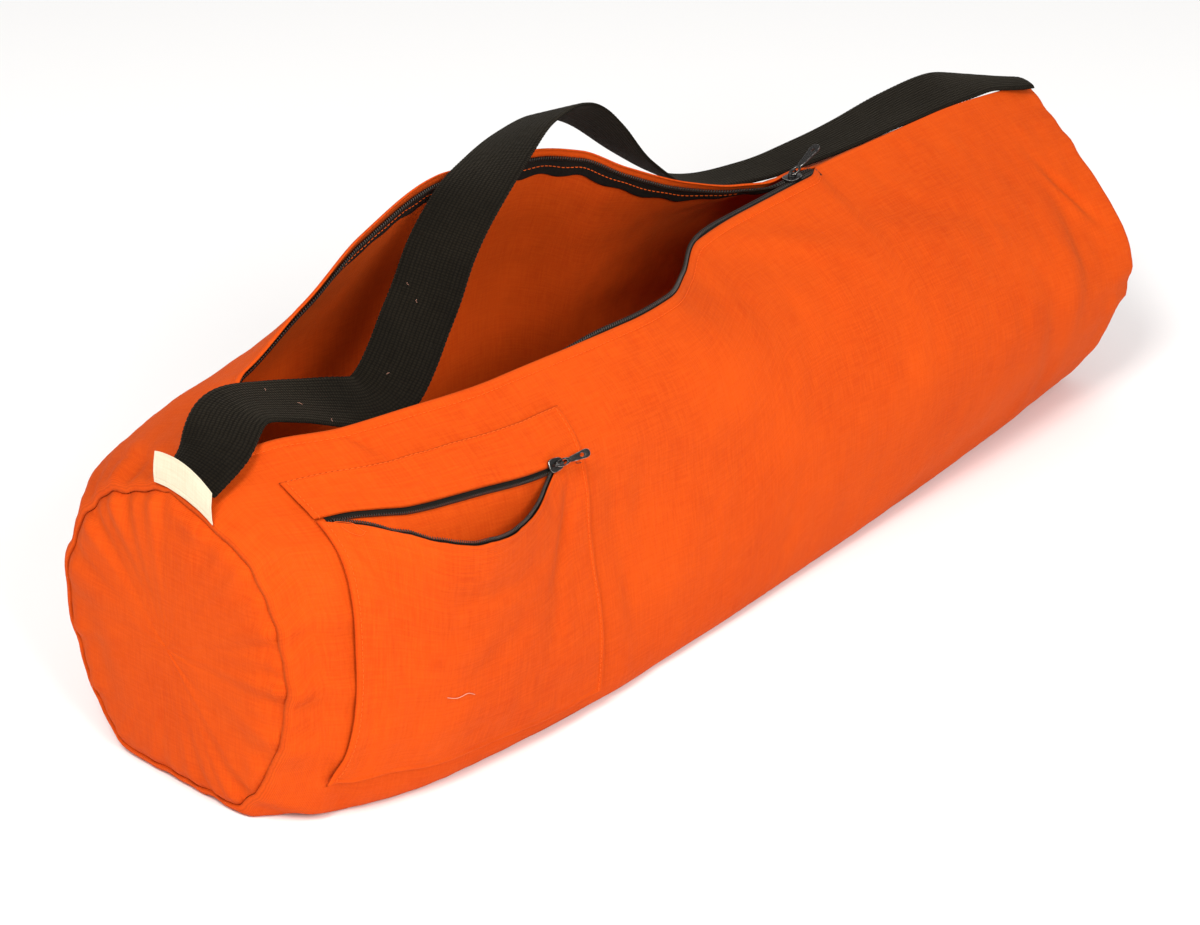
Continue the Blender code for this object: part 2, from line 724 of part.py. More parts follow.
def frame_matrix(origin, forward, upward):
    """Places a piece with its X along forward and its Z as near upward as that allows."""
    x = np.array(forward) / np.linalg.norm(forward)
    y = np.cross(upward, x)
    y /= np.linalg.norm(y)
    z = np.cross(x, y)
    turned = np.eye(4)
    turned[:3, 0] = x
    turned[:3, 1] = y
    turned[:3, 2] = z
    turned[:3, 3] = origin
    return Matrix(turned.tolist())


def make_slider(name, length, width, plates, post, matrix, material, collections):
    """A slider: its plates, the post between them and the bridge, joined into one body."""
    parts, helpers = collections
    base = plates[-1][1]
    slider = add_object(name, extruded(name, plate_outline(length, width), *plates[-1]), material, parts)
    slider.matrix_world = matrix
    arch = arch_outline(BRIDGE_REACH, BRIDGE_HEIGHT, BRIDGE_BAR, base - JOIN_DEPTH)
    added = [extruded(name + "_bridge", arch, -BRIDGE_WIDTH / 2, BRIDGE_WIDTH / 2, upright=True)]
    if post:
        low, high = plates[0]
        half = POST_WIDTH / 2
        ends = (-0.45 * length, -0.1 * length)
        post_outline = [(ends[0], -half), (ends[1], -half), (ends[1], half), (ends[0], half)]
        added.append(extruded(name + "_post", post_outline, low + JOIN_DEPTH, base - JOIN_DEPTH))
        added.append(extruded(name + "_under", plate_outline(length, width), low, high))
    for mesh in added:
        helper = add_object(mesh.name, mesh, material, helpers)
        helper.matrix_world = matrix
        helper.hide_render = True
        helper.display_type = "WIRE"
        join = slider.modifiers.new(mesh.name, "BOOLEAN")
        join.operation = "UNION"
        join.object = helper
    return slider


def make_pull(name, length, width, matrix, angle, material, collection):
    """A pull tab with a slot round the bridge and a crossbar under it; it turns about its own Y axis."""
    half = width / 2
    bar = PULL_THICK / 2
    slot = BRIDGE_WIDTH / 2 + PIN_CLEAR
    slot_end = bar + BRIDGE_HEIGHT + 2 * PIN_CLEAR
    tip = length - half
    outer = [(-bar, -0.8 * half), (slot_end, -0.8 * half), (slot_end + 0.004, -0.62 * half), (tip, -half)]
    outer += [(length, -0.5 * half), (length, 0.5 * half)]
    outer += [(a, -b) for a, b in reversed(outer[:4])]
    mesh = extruded(name, outer, -bar, bar)
    tab = add_object(name, mesh, material, collection[0])
    tab.matrix_world = matrix @ Matrix.Rotation(-math.radians(angle), 4, "Y")
    slot_outline = [(bar, -slot), (slot_end, -slot), (slot_end, slot), (bar, slot)]
    slot_mesh = extruded(name + "_slot", slot_outline, -3 * bar, 3 * bar)
    cutter = add_object(name + "_slot", slot_mesh, material, collection[1])
    cutter.matrix_world = tab.matrix_world
    cutter.hide_render = True
    cutter.display_type = "WIRE"
    cut = tab.modifiers.new("Slot", "BOOLEAN")
    cut.operation = "DIFFERENCE"
    cut.object = cutter
    return tab


def make_main_slider(places, grid, materials, collections):
    """The main slider stands round the zip just short of the mouth's end, its pull pointing past it."""
    front = MOUTH_END - SLIDER_BACK - SLIDER_LENGTH
    row = find_row(places, front)
    middle = front + SLIDER_LENGTH / 2
    lips = [np.interp(middle, places, grid[:, j, 2]) for j in (0, -1)]
    slope = (grid[row + 1, 0, 2] - grid[row, 0, 2]) / (places[row + 1] - places[row])
    level = sum(lips) / 2
    coil_level = -TAPE_SINK - TAPE_THICK / 2
    reach = COIL_RADIUS + GAP
    top_plate = (coil_level + reach, coil_level + reach + PLATE_THICK)
    under_plate = (coil_level - reach - PLATE_THICK, coil_level - reach)
    matrix = frame_matrix((middle, 0.0, level), (1.0, 0.0, slope), (0.0, 0.0, 1.0))
    plates = [under_plate, top_plate]
    make_slider("main_slider", SLIDER_LENGTH, SLIDER_WIDTH, plates, True, matrix,
                materials["metal"], collections)
    pivot = matrix @ Matrix.Translation((0.0, 0.0, top_plate[1] + PIVOT_HEIGHT))
    make_pull("main_pull", PULL_LENGTH, PULL_WIDTH, pivot, PULL_REST_ANGLE, materials["metal"], collections)


def make_pocket_slider(under, out, down, materials, collections):
    """The pocket's slider stands on the cloth where the zip starts to gape."""
    split = STRIP_COLUMN - DROP_COLUMN
    line = under[:, split]
    share = (line[:, 0] - line[0, 0]) / (line[-1, 0] - line[0, 0])
    place = np.array([np.interp(POCKET_SLIDER_SHARE, share, line[:, k]) for k in range(3)])
    row = int(np.searchsorted(share, POCKET_SLIDER_SHARE)) - 1
    forward = line[row + 1] - line[row]
    upward = out[row, split] + out[row + 1, split]
    upward /= np.linalg.norm(upward)
    lift = POCKET_REST + POCKET_CLOTH + SLIDER_REST
    matrix = frame_matrix(place + upward * lift, forward, upward)
    plates = [(0.0, PLATE_THICK)]
    make_slider("pocket_slider", POCKET_SLIDER_LENGTH, POCKET_SLIDER_WIDTH, plates, False, matrix,
                materials["metal"], collections)
    pivot = matrix @ Matrix.Translation((0.0, 0.0, PLATE_THICK + PIVOT_HEIGHT))
    make_pull("pocket_pull", POCKET_PULL_LENGTH, POCKET_PULL_WIDTH, pivot, POCKET_PULL_ANGLE,
              materials["metal"], collections)


def strap_frames():
    """Evenly spaced places along the strap, with its direction, its width's direction and its face's."""
    rows = np.array(STRAP_ROWS)
    marks = np.stack([rows[:, 0] * BAG_LENGTH, rows[:, 1] * BAG_RADIUS, rows[:, 2] * BAG_RADIUS], 1)
    line = curve_through(marks)
    lengths = arc_lengths(line)
    mark_lengths = lengths[:: (len(line) - 1) // (len(marks) - 1)]
    at = np.linspace(0, lengths[-1], STRAP_STEPS + 1)
    middle = np.stack([np.interp(at, lengths, line[:, k]) for k in range(3)], 1)
    forward = np.gradient(middle, axis=0)
    forward /= np.linalg.norm(forward, axis=1, keepdims=True)
    lean = np.radians(smooth_at(mark_lengths, rows[:, 3], at))[:, None]
    level = np.stack([forward[:, 1], -forward[:, 0], np.zeros(len(at))], 1)
    level /= np.linalg.norm(level, axis=1, keepdims=True)
    upward = np.cross(level, forward)
    width = np.cos(lean) * level + np.sin(lean) * upward
    face = np.cross(width, forward)
    return middle, forward, width, face


def make_strap(material, collection):
    middle, forward, width, face = strap_frames()
    half = STRAP_WIDTH / 2
    thin = STRAP_THICK / 2
    corners = ((-half, -thin), (half, -thin), (half, thin), (-half, thin))
    rings = np.stack([middle + width * w + face * t for w, t in corners], 1)
    mesh = closed_tube_mesh("shoulder_strap", rings)
    add_object("shoulder_strap", mesh, material, collection)


def make_label(places, grid, material, collection):
    """A small blank label that stands on the near end seam, in front of the strap's foot."""
    line = grid[0]
    top = line[line[:, 2] > SHOULDER_HEIGHT * BAG_RADIUS]
    across = LABEL_SIDE + LABEL_LENGTH * np.linspace(0.5, -0.5, LABEL_ROWS + 1)
    order = np.argsort(top[:, 1])
    seam = np.interp(across, top[order, 1], top[order, 2]) + GAP
    up = np.linspace(0, 1, LABEL_ROWS)[None, :]
    face = np.empty((len(across), LABEL_ROWS, 3))
    face[:, :, 0] = -BAG_LENGTH / 2 - LABEL_FRONT + LABEL_LEAN * up**2
    face[:, :, 1] = across[:, None]
    face[:, :, 2] = seam[:, None] + LABEL_HEIGHT * up
    front = face - np.array([LABEL_THICK, 0.0, 0.0])
    add_object("seam_label", slab_between("seam_label", front, face), material, collection)


def build():
    clear_scene()
    parts = new_collection("yoga_mat_bag", hidden=False)
    helpers = new_collection("joined_and_cut", hidden=True)
    materials = {
        "cloth": finish("orange_canvas", (0.82, 0.10, 0.008), 0.85),
        "tape": finish("black_zip_tape", (0.012, 0.012, 0.013), 0.8),
        "coil": finish("black_coil", (0.015, 0.015, 0.016), 0.4),
        "metal": finish("dark_metal", (0.05, 0.05, 0.055), 0.3, 0.9),
        "webbing": finish("black_webbing", (0.012, 0.011, 0.011), 0.9),
        "label": finish("cream_cotton", (0.75, 0.66, 0.48), 0.9),
    }
    places, grid = body_grid()
    make_body(places, grid, materials["cloth"], parts)
    make_end("end_panel_near", grid[0], -1, materials["cloth"], parts)
    make_end("end_panel_far", grid[-1], 1, materials["cloth"], parts)
    make_main_zip(places, grid, True, materials, parts)
    make_main_zip(places, grid, False, materials, parts)
    make_main_slider(places, grid, materials, (parts, helpers))
    make_pocket(places, grid, materials, parts)
    under, out, down, across = pocket_grids(places, grid)
    make_pocket_slider(under, out, down, materials, (parts, helpers))
    make_strap(materials["webbing"], parts)
    make_label(places, grid, materials["label"], parts)


build()
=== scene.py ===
import json
import math

import bpy
import numpy as np
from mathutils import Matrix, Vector


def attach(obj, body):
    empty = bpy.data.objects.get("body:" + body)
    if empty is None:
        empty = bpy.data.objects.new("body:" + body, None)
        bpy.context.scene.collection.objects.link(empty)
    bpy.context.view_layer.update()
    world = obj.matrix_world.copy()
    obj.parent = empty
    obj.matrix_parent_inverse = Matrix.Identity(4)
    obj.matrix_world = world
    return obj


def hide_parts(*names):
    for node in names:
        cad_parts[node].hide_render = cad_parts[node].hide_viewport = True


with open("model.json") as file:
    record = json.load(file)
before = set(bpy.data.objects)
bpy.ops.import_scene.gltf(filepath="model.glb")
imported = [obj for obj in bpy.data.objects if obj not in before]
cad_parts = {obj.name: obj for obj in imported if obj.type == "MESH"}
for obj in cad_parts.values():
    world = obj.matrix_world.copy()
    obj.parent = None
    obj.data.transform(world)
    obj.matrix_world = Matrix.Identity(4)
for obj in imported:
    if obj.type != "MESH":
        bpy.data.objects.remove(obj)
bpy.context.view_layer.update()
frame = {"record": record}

bag = {"length": 0.700, "radius": 0.090, "mouthStart": -0.334, "mouthEnd": 0.143}

camera = {"azimuth": -47.3, "elevation": 27.3, "distance": 2.0, "focalPixels": 3553.0, "across": -0.027,
          "up": -0.031, "targetHeight": 0.09, "sensor": 36.0, "pixelsWide": 1200}


def makeCamera():
    # eye = target + back * distance, slid sideways and up in the picture plane
    a, e = math.radians(camera["azimuth"]), math.radians(camera["elevation"])
    back = Vector((math.sin(a) * math.cos(e), -math.cos(a) * math.cos(e), math.sin(e)))
    right = Vector((math.cos(a), math.sin(a), 0))
    eye = Vector((0, 0, camera["targetHeight"])) + back * camera["distance"]
    eye += right * camera["across"] + right.cross(-back) * camera["up"]
    data = bpy.data.cameras.new("camera")
    data.sensor_width = camera["sensor"]
    data.lens = camera["focalPixels"] / camera["pixelsWide"] * camera["sensor"]
    made = bpy.data.objects.new("camera", data)
    made.location = eye
    made.rotation_euler = (-back).to_track_quat("-Z", "Y").to_euler()
    bpy.context.scene.collection.objects.link(made)
    bpy.context.scene.camera = made


makeCamera()
print("camera set")

# the cloth tube

# each row: share along, ridge height, then how far the near and far sides stand out, in radii
sideColumns = ("along", "ridge", "shoulderNear", "bellyNear", "lowNear", "footNear",
               "footFar", "lowFar", "bellyFar", "shoulderFar")
sideRows = (
    (-0.50, 1.98, 0.69, 0.93, 0.79, 0.45, 0.58, 0.90, 1.00, 0.66),
    (-0.46, 2.06, 0.84, 1.00, 0.98, 0.76, 0.72, 0.96, 1.04, 0.92),
    (-0.36, 2.08, 0.94, 1.06, 1.11, 1.01, 0.78, 0.98, 1.06, 1.10),
    (-0.21, 2.06, 0.96, 1.05, 1.14, 1.07, 0.78, 0.98, 1.05, 1.09),
    (-0.07, 2.06, 0.91, 1.05, 1.09, 1.01, 0.78, 0.98, 1.03, 0.99),
    (0.07, 2.09, 0.82, 1.06, 1.05, 0.92, 0.78, 0.98, 1.02, 0.80),
    (0.21, 2.14, 0.73, 1.06, 1.01, 0.81, 0.76, 0.96, 1.01, 0.71),
    (0.36, 2.15, 0.62, 1.04, 0.96, 0.65, 0.66, 0.92, 1.00, 0.64),
    (0.46, 2.10, 0.51, 1.01, 0.87, 0.50, 0.55, 0.86, 0.98, 0.58),
    (0.50, 2.07, 0.46, 0.97, 0.76, 0.39, 0.47, 0.78, 0.96, 0.49),
)
sideHeights = {"shoulder": 1.69, "belly": 1.06, "low": 0.47, "foot": 0.022}
footInset = 0.22

# each row: share along the mouth, then how far each lip stands out and up from the ridge, in radii
mouthColumns = ("along", "nearOut", "nearUp", "farOut", "farUp")
mouthRows = (
    (0.000, 0.000, 0.00, 0.000, 0.00),
    (0.025, 0.090, 0.00, 0.080, 0.01),
    (0.080, 0.210, 0.01, 0.180, 0.02),
    (0.145, 0.370, 0.00, 0.405, 0.10),
    (0.230, 0.460, 0.00, 0.415, 0.34),
    (0.340, 0.550, 0.01, 0.530, 0.56),
    (0.470, 0.550, -0.01, 0.630, 0.685),
    (0.550, 0.550, -0.02, 0.670, 0.62),
    (0.630, 0.500, -0.03, 0.650, 0.59),
    (0.700, 0.300, -0.06, 0.570, 0.49),
    (0.763, 0.110, -0.01, 0.490, 0.29),
    (0.847, 0.070, 0.00, 0.350, 0.08),
    (0.900, 0.070, 0.00, 0.190, 0.01),
    (0.940, 0.070, 0.00, 0.070, 0.00),
    (0.975, 0.070, 0.00, 0.070, 0.00),
    (1.000, 0.000, 0.00, 0.000, 0.00),
)

# broad dents: share along, share round from the near lip to the far one, their half sizes, depth in radii
foldRows = (
    (0.455, 0.20, 0.030, 0.070, 0.060),
    (0.400, 0.12, 0.050, 0.060, 0.030),
    (0.470, 0.33, 0.020, 0.060, -0.025),
    (0.360, 0.30, 0.060, 0.050, 0.025),
    (0.230, 0.22, 0.080, 0.050, -0.020),
    (0.080, 0.12, 0.060, 0.050, 0.045),
    (-0.150, 0.17, 0.030, 0.090, 0.020),
    (-0.435, 0.07, 0.030, 0.060, 0.030),
    (0.380, 0.80, 0.070, 0.080, 0.030),
    (0.050, 0.78, 0.090, 0.060, 0.030),
    (-0.300, 0.80, 0.070, 0.080, 0.025),
)

# sharp creases: place along in metres, distance round from the near lip in metres, direction in degrees from
# the bag's length, half length, half width and depth in metres
creaseRows = (
    (0.318, 0.075, 62.0, 0.022, 0.0035, 0.0030),
    (0.300, 0.120, 100.0, 0.040, 0.0090, 0.0022),
    (0.262, 0.170, 80.0, 0.050, 0.0100, 0.0016),
    (0.205, 0.060, 25.0, 0.060, 0.0110, 0.0013),
    (-0.128, 0.110, 84.0, 0.080, 0.0070, 0.0012),
    (-0.105, 0.190, 70.0, 0.060, 0.0120, 0.0012),
    (-0.300, 0.240, 40.0, 0.045, 0.0060, 0.0022),
    (-0.325, 0.200, 65.0, 0.050, 0.0050, 0.0018),
    (-0.338, 0.110, 85.0, 0.060, 0.0060, 0.0014),
    (-0.262, 0.010, 60.0, 0.012, 0.0030, 0.0016),
    (-0.060, 0.055, 15.0, 0.070, 0.0090, 0.0012),
    (0.080, 0.030, 35.0, 0.050, 0.0090, -0.0014),
    (0.020, 0.240, 12.0, 0.120, 0.0130, 0.0018),
    (0.180, 0.220, 165.0, 0.100, 0.0140, 0.0016),
    (-0.200, 0.500, 20.0, 0.100, 0.0120, 0.0018),
    (0.150, 0.480, 160.0, 0.110, 0.0120, 0.0018),
    (0.290, 0.430, 110.0, 0.050, 0.0090, 0.0022),
    (-0.310, 0.460, 75.0, 0.050, 0.0080, 0.0020),
)

# distances of the closest columns from each lip of the mouth, in metres
lipColumns = (0, 0.0006, 0.0014, 0.0024, 0.0036, 0.0047, 0.0056, 0.0062, 0.0070, 0.0085, 0.011, 0.014, 0.0175)
tube = {"rows": 292, "middleColumns": 132, "wall": 0.0018, "curveSteps": 16, "foldFade": 0.03,
        "ridgeRound": 0.022, "endRound": 0.0052, "pucker": 0.0027, "farPucker": 0.0013, "puckerReach": 0.027,
        "puckerFall": 1.3, "puckerBase": 0.4, "gathers": 26, "seamWobble": 0.4, "grain": 0.0005,
        "grainSize": 0.05, "fineGrain": 0.0004, "fineSize": 0.018, "calmLip": 0.012, "calmFloor": 0.010,
        "flat": (0.70, 0.60)}
hem = {"rise": 0.0007, "width": 0.0056, "step": 0.0006, "groove": 0.0005, "grooveWide": 0.0007,
       "drop": 0.0010, "dropWide": 0.0016, "startFade": 0.012, "endFade": 0.006, "farReach": 0.0016,
       "farWide": 0.011, "farStart": (0.05, 0.2), "farEnd": (0.80, 0.90)}


def unit(vectors):
    return vectors / np.linalg.norm(vectors, axis=-1, keepdims=True)


def smoothAt(places, values, at):
    # a monotone cubic through the table's rows: it never overshoots them
    steps = np.diff(places)
    slopes = np.diff(values) / steps
    before, after = slopes[:-1], slopes[1:]
    sameWay = before * after > 0
    weightA, weightB = 2 * steps[1:] + steps[:-1], steps[1:] + 2 * steps[:-1]
    safeBefore, safeAfter = np.where(sameWay, before, 1), np.where(sameWay, after, 1)
    middle = (weightA + weightB) / (weightA / safeBefore + weightB / safeAfter)
    tangent = np.concatenate([[slopes[0]], np.where(sameWay, middle, 0), [slopes[-1]]])
    at = np.clip(at, places[0], places[-1])
    i = np.clip(np.searchsorted(places, at, side="right") - 1, 0, len(steps) - 1)
    t = (at - places[i]) / steps[i]
    fromRow = (1 + 2 * t) * (1 - t) ** 2 * values[i] + t * (1 - t) ** 2 * steps[i] * tangent[i]
    return fromRow + t * t * (3 - 2 * t) * values[i + 1] + t * t * (t - 1) * steps[i] * tangent[i + 1]


def curveThrough(points, steps):
    # centripetal Catmull-Rom through points[..., k, :], with that many steps between two points
    ends = np.concatenate([2 * points[..., :1, :] - points[..., 1:2, :], points,
                           2 * points[..., -1:, :] - points[..., -2:-1, :]], axis=-2)
    pieces = []
    for i in range(1, ends.shape[-2] - 2):
        four = ends[..., i - 1:i + 3, :]
        chords = np.sqrt(np.linalg.norm(np.diff(four, axis=-2), axis=-1))
        knots = np.concatenate([np.zeros_like(chords[..., :1]), np.cumsum(chords, axis=-1)], axis=-1)
        share = np.linspace(0, 1, steps, endpoint=False)
        t = (knots[..., 1:2] + (knots[..., 2:3] - knots[..., 1:2]) * share)[..., None]
        knot = [knots[..., k, None, None] for k in range(4)]
        point = [four[..., k, None, :] for k in range(4)]

        def blend(a, b, s, e):
            return ((e - t) * a + (t - s) * b) / (e - s)

        first = [blend(point[k], point[k + 1], knot[k], knot[k + 1]) for k in range(3)]
        second = [blend(first[k], first[k + 1], knot[k], knot[k + 2]) for k in range(2)]
        pieces.append(blend(second[0], second[1], knot[1], knot[2]))
    return np.concatenate(pieces + [points[..., -1:, :]], axis=-2)


def lengthsOf(line):
    steps = np.linalg.norm(np.diff(line, axis=-2), axis=-1)
    return np.concatenate([np.zeros_like(steps[..., :1]), np.cumsum(steps, axis=-1)], axis=-1)


def readAlong(values, lengths, at):
    # each coordinate of a line's points read off at some lengths along it
    return np.stack([np.interp(at, lengths, values[:, k]) for k in range(3)], 1)


def rowInterp(at, places, values):
    # np.interp row by row: each row is pushed clear of the one before, then all are read at once
    span = 4 * (np.abs(places).max() + np.abs(at).max() + 1)
    push = np.arange(places.shape[0])[:, None] * span
    at = np.clip(at, places[:, :1], places[:, -1:])
    return np.interp((at + push).ravel(), (places + push).ravel(), values.ravel()).reshape(at.shape)


def sideAt(name, along):
    rows = np.array(sideRows)
    return bag["radius"] * smoothAt(rows[:, 0], rows[:, sideColumns.index(name)], along / bag["length"])


def mouthShare(along):
    return (along - bag["mouthStart"]) / (bag["mouthEnd"] - bag["mouthStart"])


def mouthAt(name, along):
    rows = np.array(mouthRows)
    value = bag["radius"] * smoothAt(rows[:, 0], rows[:, mouthColumns.index(name)], mouthShare(along))
    return np.where(inMouth(along), value, 0.0)


def inMouth(along):
    return (along > bag["mouthStart"] + 1e-6) & (along < bag["mouthEnd"] - 1e-6)


def sectionLines(along):
    # the outline across each station, from the near lip round under the base to the far lip
    ridge = sideAt("ridge", along)
    radius = bag["radius"]
    near, far = [], []
    for name, up in sideHeights.items():
        height = np.full_like(along, radius * up)
        near.append((-sideAt(name + "Near", along), height))
        far.insert(0, (sideAt(name + "Far", along), height))
    inset = footInset * radius
    zero = np.zeros_like(along)
    base = [(near[-1][0] + inset, zero), (zero, zero), (far[0][0] - inset, zero)]
    nearLip = (-mouthAt("nearOut", along), ridge + mouthAt("nearUp", along))
    farLip = (mouthAt("farOut", along), ridge + mouthAt("farUp", along))
    points = np.stack([np.stack(p, -1) for p in [nearLip] + near + base + far + [farLip]], 1)
    line = curveThrough(points, tube["curveSteps"])
    line[..., 1] = np.maximum(line[..., 1], 0.0)
    return line


def smoothstep(low, high, value):
    t = np.clip((value - low) / (high - low), 0, 1)
    return t * t * (3 - 2 * t)


def ripple(u, v, seed, waves=14, size=0.03):
    # cloth's small unevenness: a sum of plane waves in seeded directions, about 1 high
    rng = np.random.default_rng(seed)
    total = 0.0
    for turn, phase, scale in zip(rng.uniform(0, 2 * math.pi, waves), rng.uniform(0, 2 * math.pi, waves),
                                  rng.uniform(0.45, 1.8, waves)):
        k = 2 * math.pi / (size * scale)
        total = total + np.sin(k * (u * math.cos(turn) + v * math.sin(turn)) + phase) * scale
    return total / waves * 1.6


def creases(u, v, rows):
    # each crease is a long narrow valley with a soft bank on one side
    depth = 0.0
    for along, down, turn, halfLong, halfWide, deep in rows:
        c, s = math.cos(math.radians(turn)), math.sin(math.radians(turn))
        du, dv = u - along, v - down
        onward = (du * c + dv * s) / halfLong
        across = (-du * s + dv * c) / halfWide
        bank = np.exp(-across**2) - 0.55 * np.exp(-((across - 1.9) / 1.3) ** 2)
        depth = depth + deep * bank * np.exp(-onward**2)
    return depth


def outwardOf(grid):
    # unit normals of a grid of points, rows along X and columns from the near side round under the base
    down = np.gradient(grid, axis=1)
    along = np.gradient(grid, axis=0)
    normal = np.cross(down, along)
    return normal / np.maximum(np.linalg.norm(normal, axis=2, keepdims=True), 1e-12)


def columnsRound(total):
    # distances round from the near lip: close together at both lips, even between
    edge = np.array(lipColumns)
    middle = np.linspace(0, 1, tube["middleColumns"] + 1)[1:-1]
    first, last = edge[-1], total[:, None] - edge[-1]
    return np.concatenate([np.broadcast_to(edge, (len(total), len(edge))), first + (last - first) * middle,
                           total[:, None] - edge[::-1]], axis=1)


def rowsAlong(count):
    # places along the bag, twice as close near the two ends as in the middle
    t = np.linspace(-1, 1, count)
    return bag["length"] / 2 * (1.35 * t - 0.35 * t**3)


def tubeSurface(along, at=None, detail=True):
    # the tube's outer face at those stations: outline, broad dents, creases, hems and end seams
    line = sectionLines(along)
    lengths = lengthsOf(line)
    total = lengths[:, -1]
    if at is None:
        at = columnsRound(total)
    grid = np.empty(at.shape + (3,))
    grid[..., 0] = along[:, None]
    grid[..., 1] = rowInterp(at, lengths, line[..., 0])
    grid[..., 2] = rowInterp(at, lengths, line[..., 1])
    share = at / total[:, None]
    onBase = grid[..., 2] < 1e-6
    depth = 0.0
    for a, r, longHalf, wideHalf, deep in foldRows:
        depth = depth + deep * bag["radius"] * np.exp(-((along[:, None] / bag["length"] - a) / longHalf) ** 2
                                                      - ((share - r) / wideHalf) ** 2)
    fade = np.clip(np.minimum(share, 1 - share) / tube["foldFade"], 0, 1)
    normal = outwardOf(grid)
    grid = grid - normal * (np.where(onBase, 0, depth) * fade)[..., None]
    if detail:
        u = np.broadcast_to(along[:, None], at.shape)
        fromLip = np.minimum(at, total[:, None] - at)
        calm = smoothstep(0.0, tube["calmLip"], fromLip) * smoothstep(0.0, tube["calmFloor"], grid[..., 2])
        push = creases(u, at, creaseRows) * calm
        push = push + tube["grain"] * ripple(u, at, 3, size=tube["grainSize"]) * calm
        push = push + tube["fineGrain"] * ripple(u, at, 5, size=tube["fineSize"]) * calm
        grid = grid - outwardOf(grid) * push[..., None]
    grid[..., 2] = np.maximum(grid[..., 2], 0.0)
    return grid, at, total


def puckers(turn, seed, count):
    # the gathers of a sewn end: uneven ripples round the seam, from -1 to 1
    rng = np.random.default_rng(seed)
    total = 0.0
    for _ in range(6):
        waves = round(count * rng.uniform(0.55, 1.5))
        total = total + np.sin(2 * math.pi * waves * turn + rng.uniform(0, 6.28)) * rng.uniform(0.5, 1)
    return total / 3.0


def tubeEndShape(grid, along, at, total):
    # both ends turn in to the seam on a quarter round, with gathers that fade away from it
    half = bag["length"] / 2
    normal = outwardOf(grid)
    inPlane = normal.copy()
    inPlane[..., 0] = 0
    inPlane /= np.maximum(np.linalg.norm(inPlane, axis=2, keepdims=True), 1e-9)
    share = at / total[:, None]
    # across the closed ridge one way in is shared, so that its two edges never cross
    both = (inPlane[:, :1] + inPlane[:, -1:]) / 2
    both /= np.maximum(np.linalg.norm(both, axis=2, keepdims=True), 1e-9)
    byRidge = smoothstep(0.0, tube["ridgeRound"], np.minimum(at, total[:, None] - at))
    own = np.where(inMouth(along)[:, None], 1.0, byRidge)
    inPlane = inPlane * own[..., None] + both * (1 - own[..., None])
    fromEnd = np.minimum(along + half, half - along)[:, None]
    r = tube["endRound"]
    near = np.clip(fromEnd, 0, r)
    turnIn = r - np.sqrt(np.maximum(r * r - (r - near) ** 2, 0))
    gathers = tube["gathers"]
    gather = np.where((along < 0)[:, None], puckers(share, 11, gathers), puckers(share, 12, gathers))
    size = np.where(along < 0, tube["pucker"], tube["farPucker"])[:, None]
    strength = size * np.exp(-(fromEnd / tube["puckerReach"]) ** tube["puckerFall"]) * (
        tube["seamWobble"] + (1 - tube["seamWobble"]) * smoothstep(0, r, fromEnd))
    lifted = grid - inPlane * (turnIn + strength * (gather + tube["puckerBase"]))[..., None]
    lifted[..., 2] = np.maximum(lifted[..., 2], 0.0)
    return lifted


def hemShape(grid, along, at, total):
    # a turned hem at both lips of the mouth: a low rounded step, a stitch groove and a rounded edge
    fromLip = np.minimum(at, total[:, None] - at)
    rise = hem["rise"] * (1 - smoothstep(hem["width"] - hem["step"], hem["width"] + hem["step"], fromLip))
    groove = hem["groove"] * np.exp(-((fromLip - hem["width"]) / hem["grooveWide"]) ** 2)
    drop = hem["drop"] * (1 - smoothstep(0.0, hem["dropWide"], fromLip))
    opened = (smoothstep(0.0, hem["startFade"], along - bag["mouthStart"])
              * smoothstep(0.0, hem["endFade"], bag["mouthEnd"] - along))
    return grid + outwardOf(grid) * ((rise - groove - drop) * opened[:, None])[..., None]


def fullTube(along, at=None):
    # the finished tube: the far hem reaches a little past its lip, then hems and end seams are laid on
    grid, at, total = tubeSurface(along, at)
    past = grid[:, -1] - grid[:, -4]
    past[:, 0] = 0
    past = unit(past)
    share = mouthShare(along)
    reach = hem["farReach"] * smoothstep(*hem["farStart"], share) * (1 - smoothstep(*hem["farEnd"], share))
    fromFar = total[:, None] - at
    grid = grid + past[:, None] * (reach[:, None] * (1 - smoothstep(0.0, hem["farWide"], fromFar)))[..., None]
    return tubeEndShape(hemShape(grid, along, at, total), along, at, total), at, total


# meshes

def meshFrom(name, points, faces, uvs=None, smooth=True):
    # points (n, 3), faces (m, 4) or a list of such arrays with 3 or 4 corners each, uvs (n, 2) per point
    mesh = bpy.data.meshes.new(name)
    blocks = faces if isinstance(faces, list) else [faces]
    loops = np.concatenate([b.ravel() for b in blocks]).astype(np.int32)
    sizes = np.concatenate([np.full(len(b), b.shape[1]) for b in blocks]).astype(np.int32)
    starts = np.concatenate([[0], np.cumsum(sizes)[:-1]]).astype(np.int32)
    mesh.vertices.add(len(points))
    mesh.vertices.foreach_set("co", np.ascontiguousarray(points, np.float32).ravel())
    mesh.loops.add(len(loops))
    mesh.loops.foreach_set("vertex_index", loops)
    mesh.polygons.add(len(sizes))
    mesh.polygons.foreach_set("loop_start", starts)
    mesh.update(calc_edges=True)
    if uvs is not None:
        layer = mesh.uv_layers.new(name="cloth")
        layer.data.foreach_set("uv", np.ascontiguousarray(uvs[loops], np.float32).ravel())
    if smooth:
        mesh.shade_smooth()
    return mesh


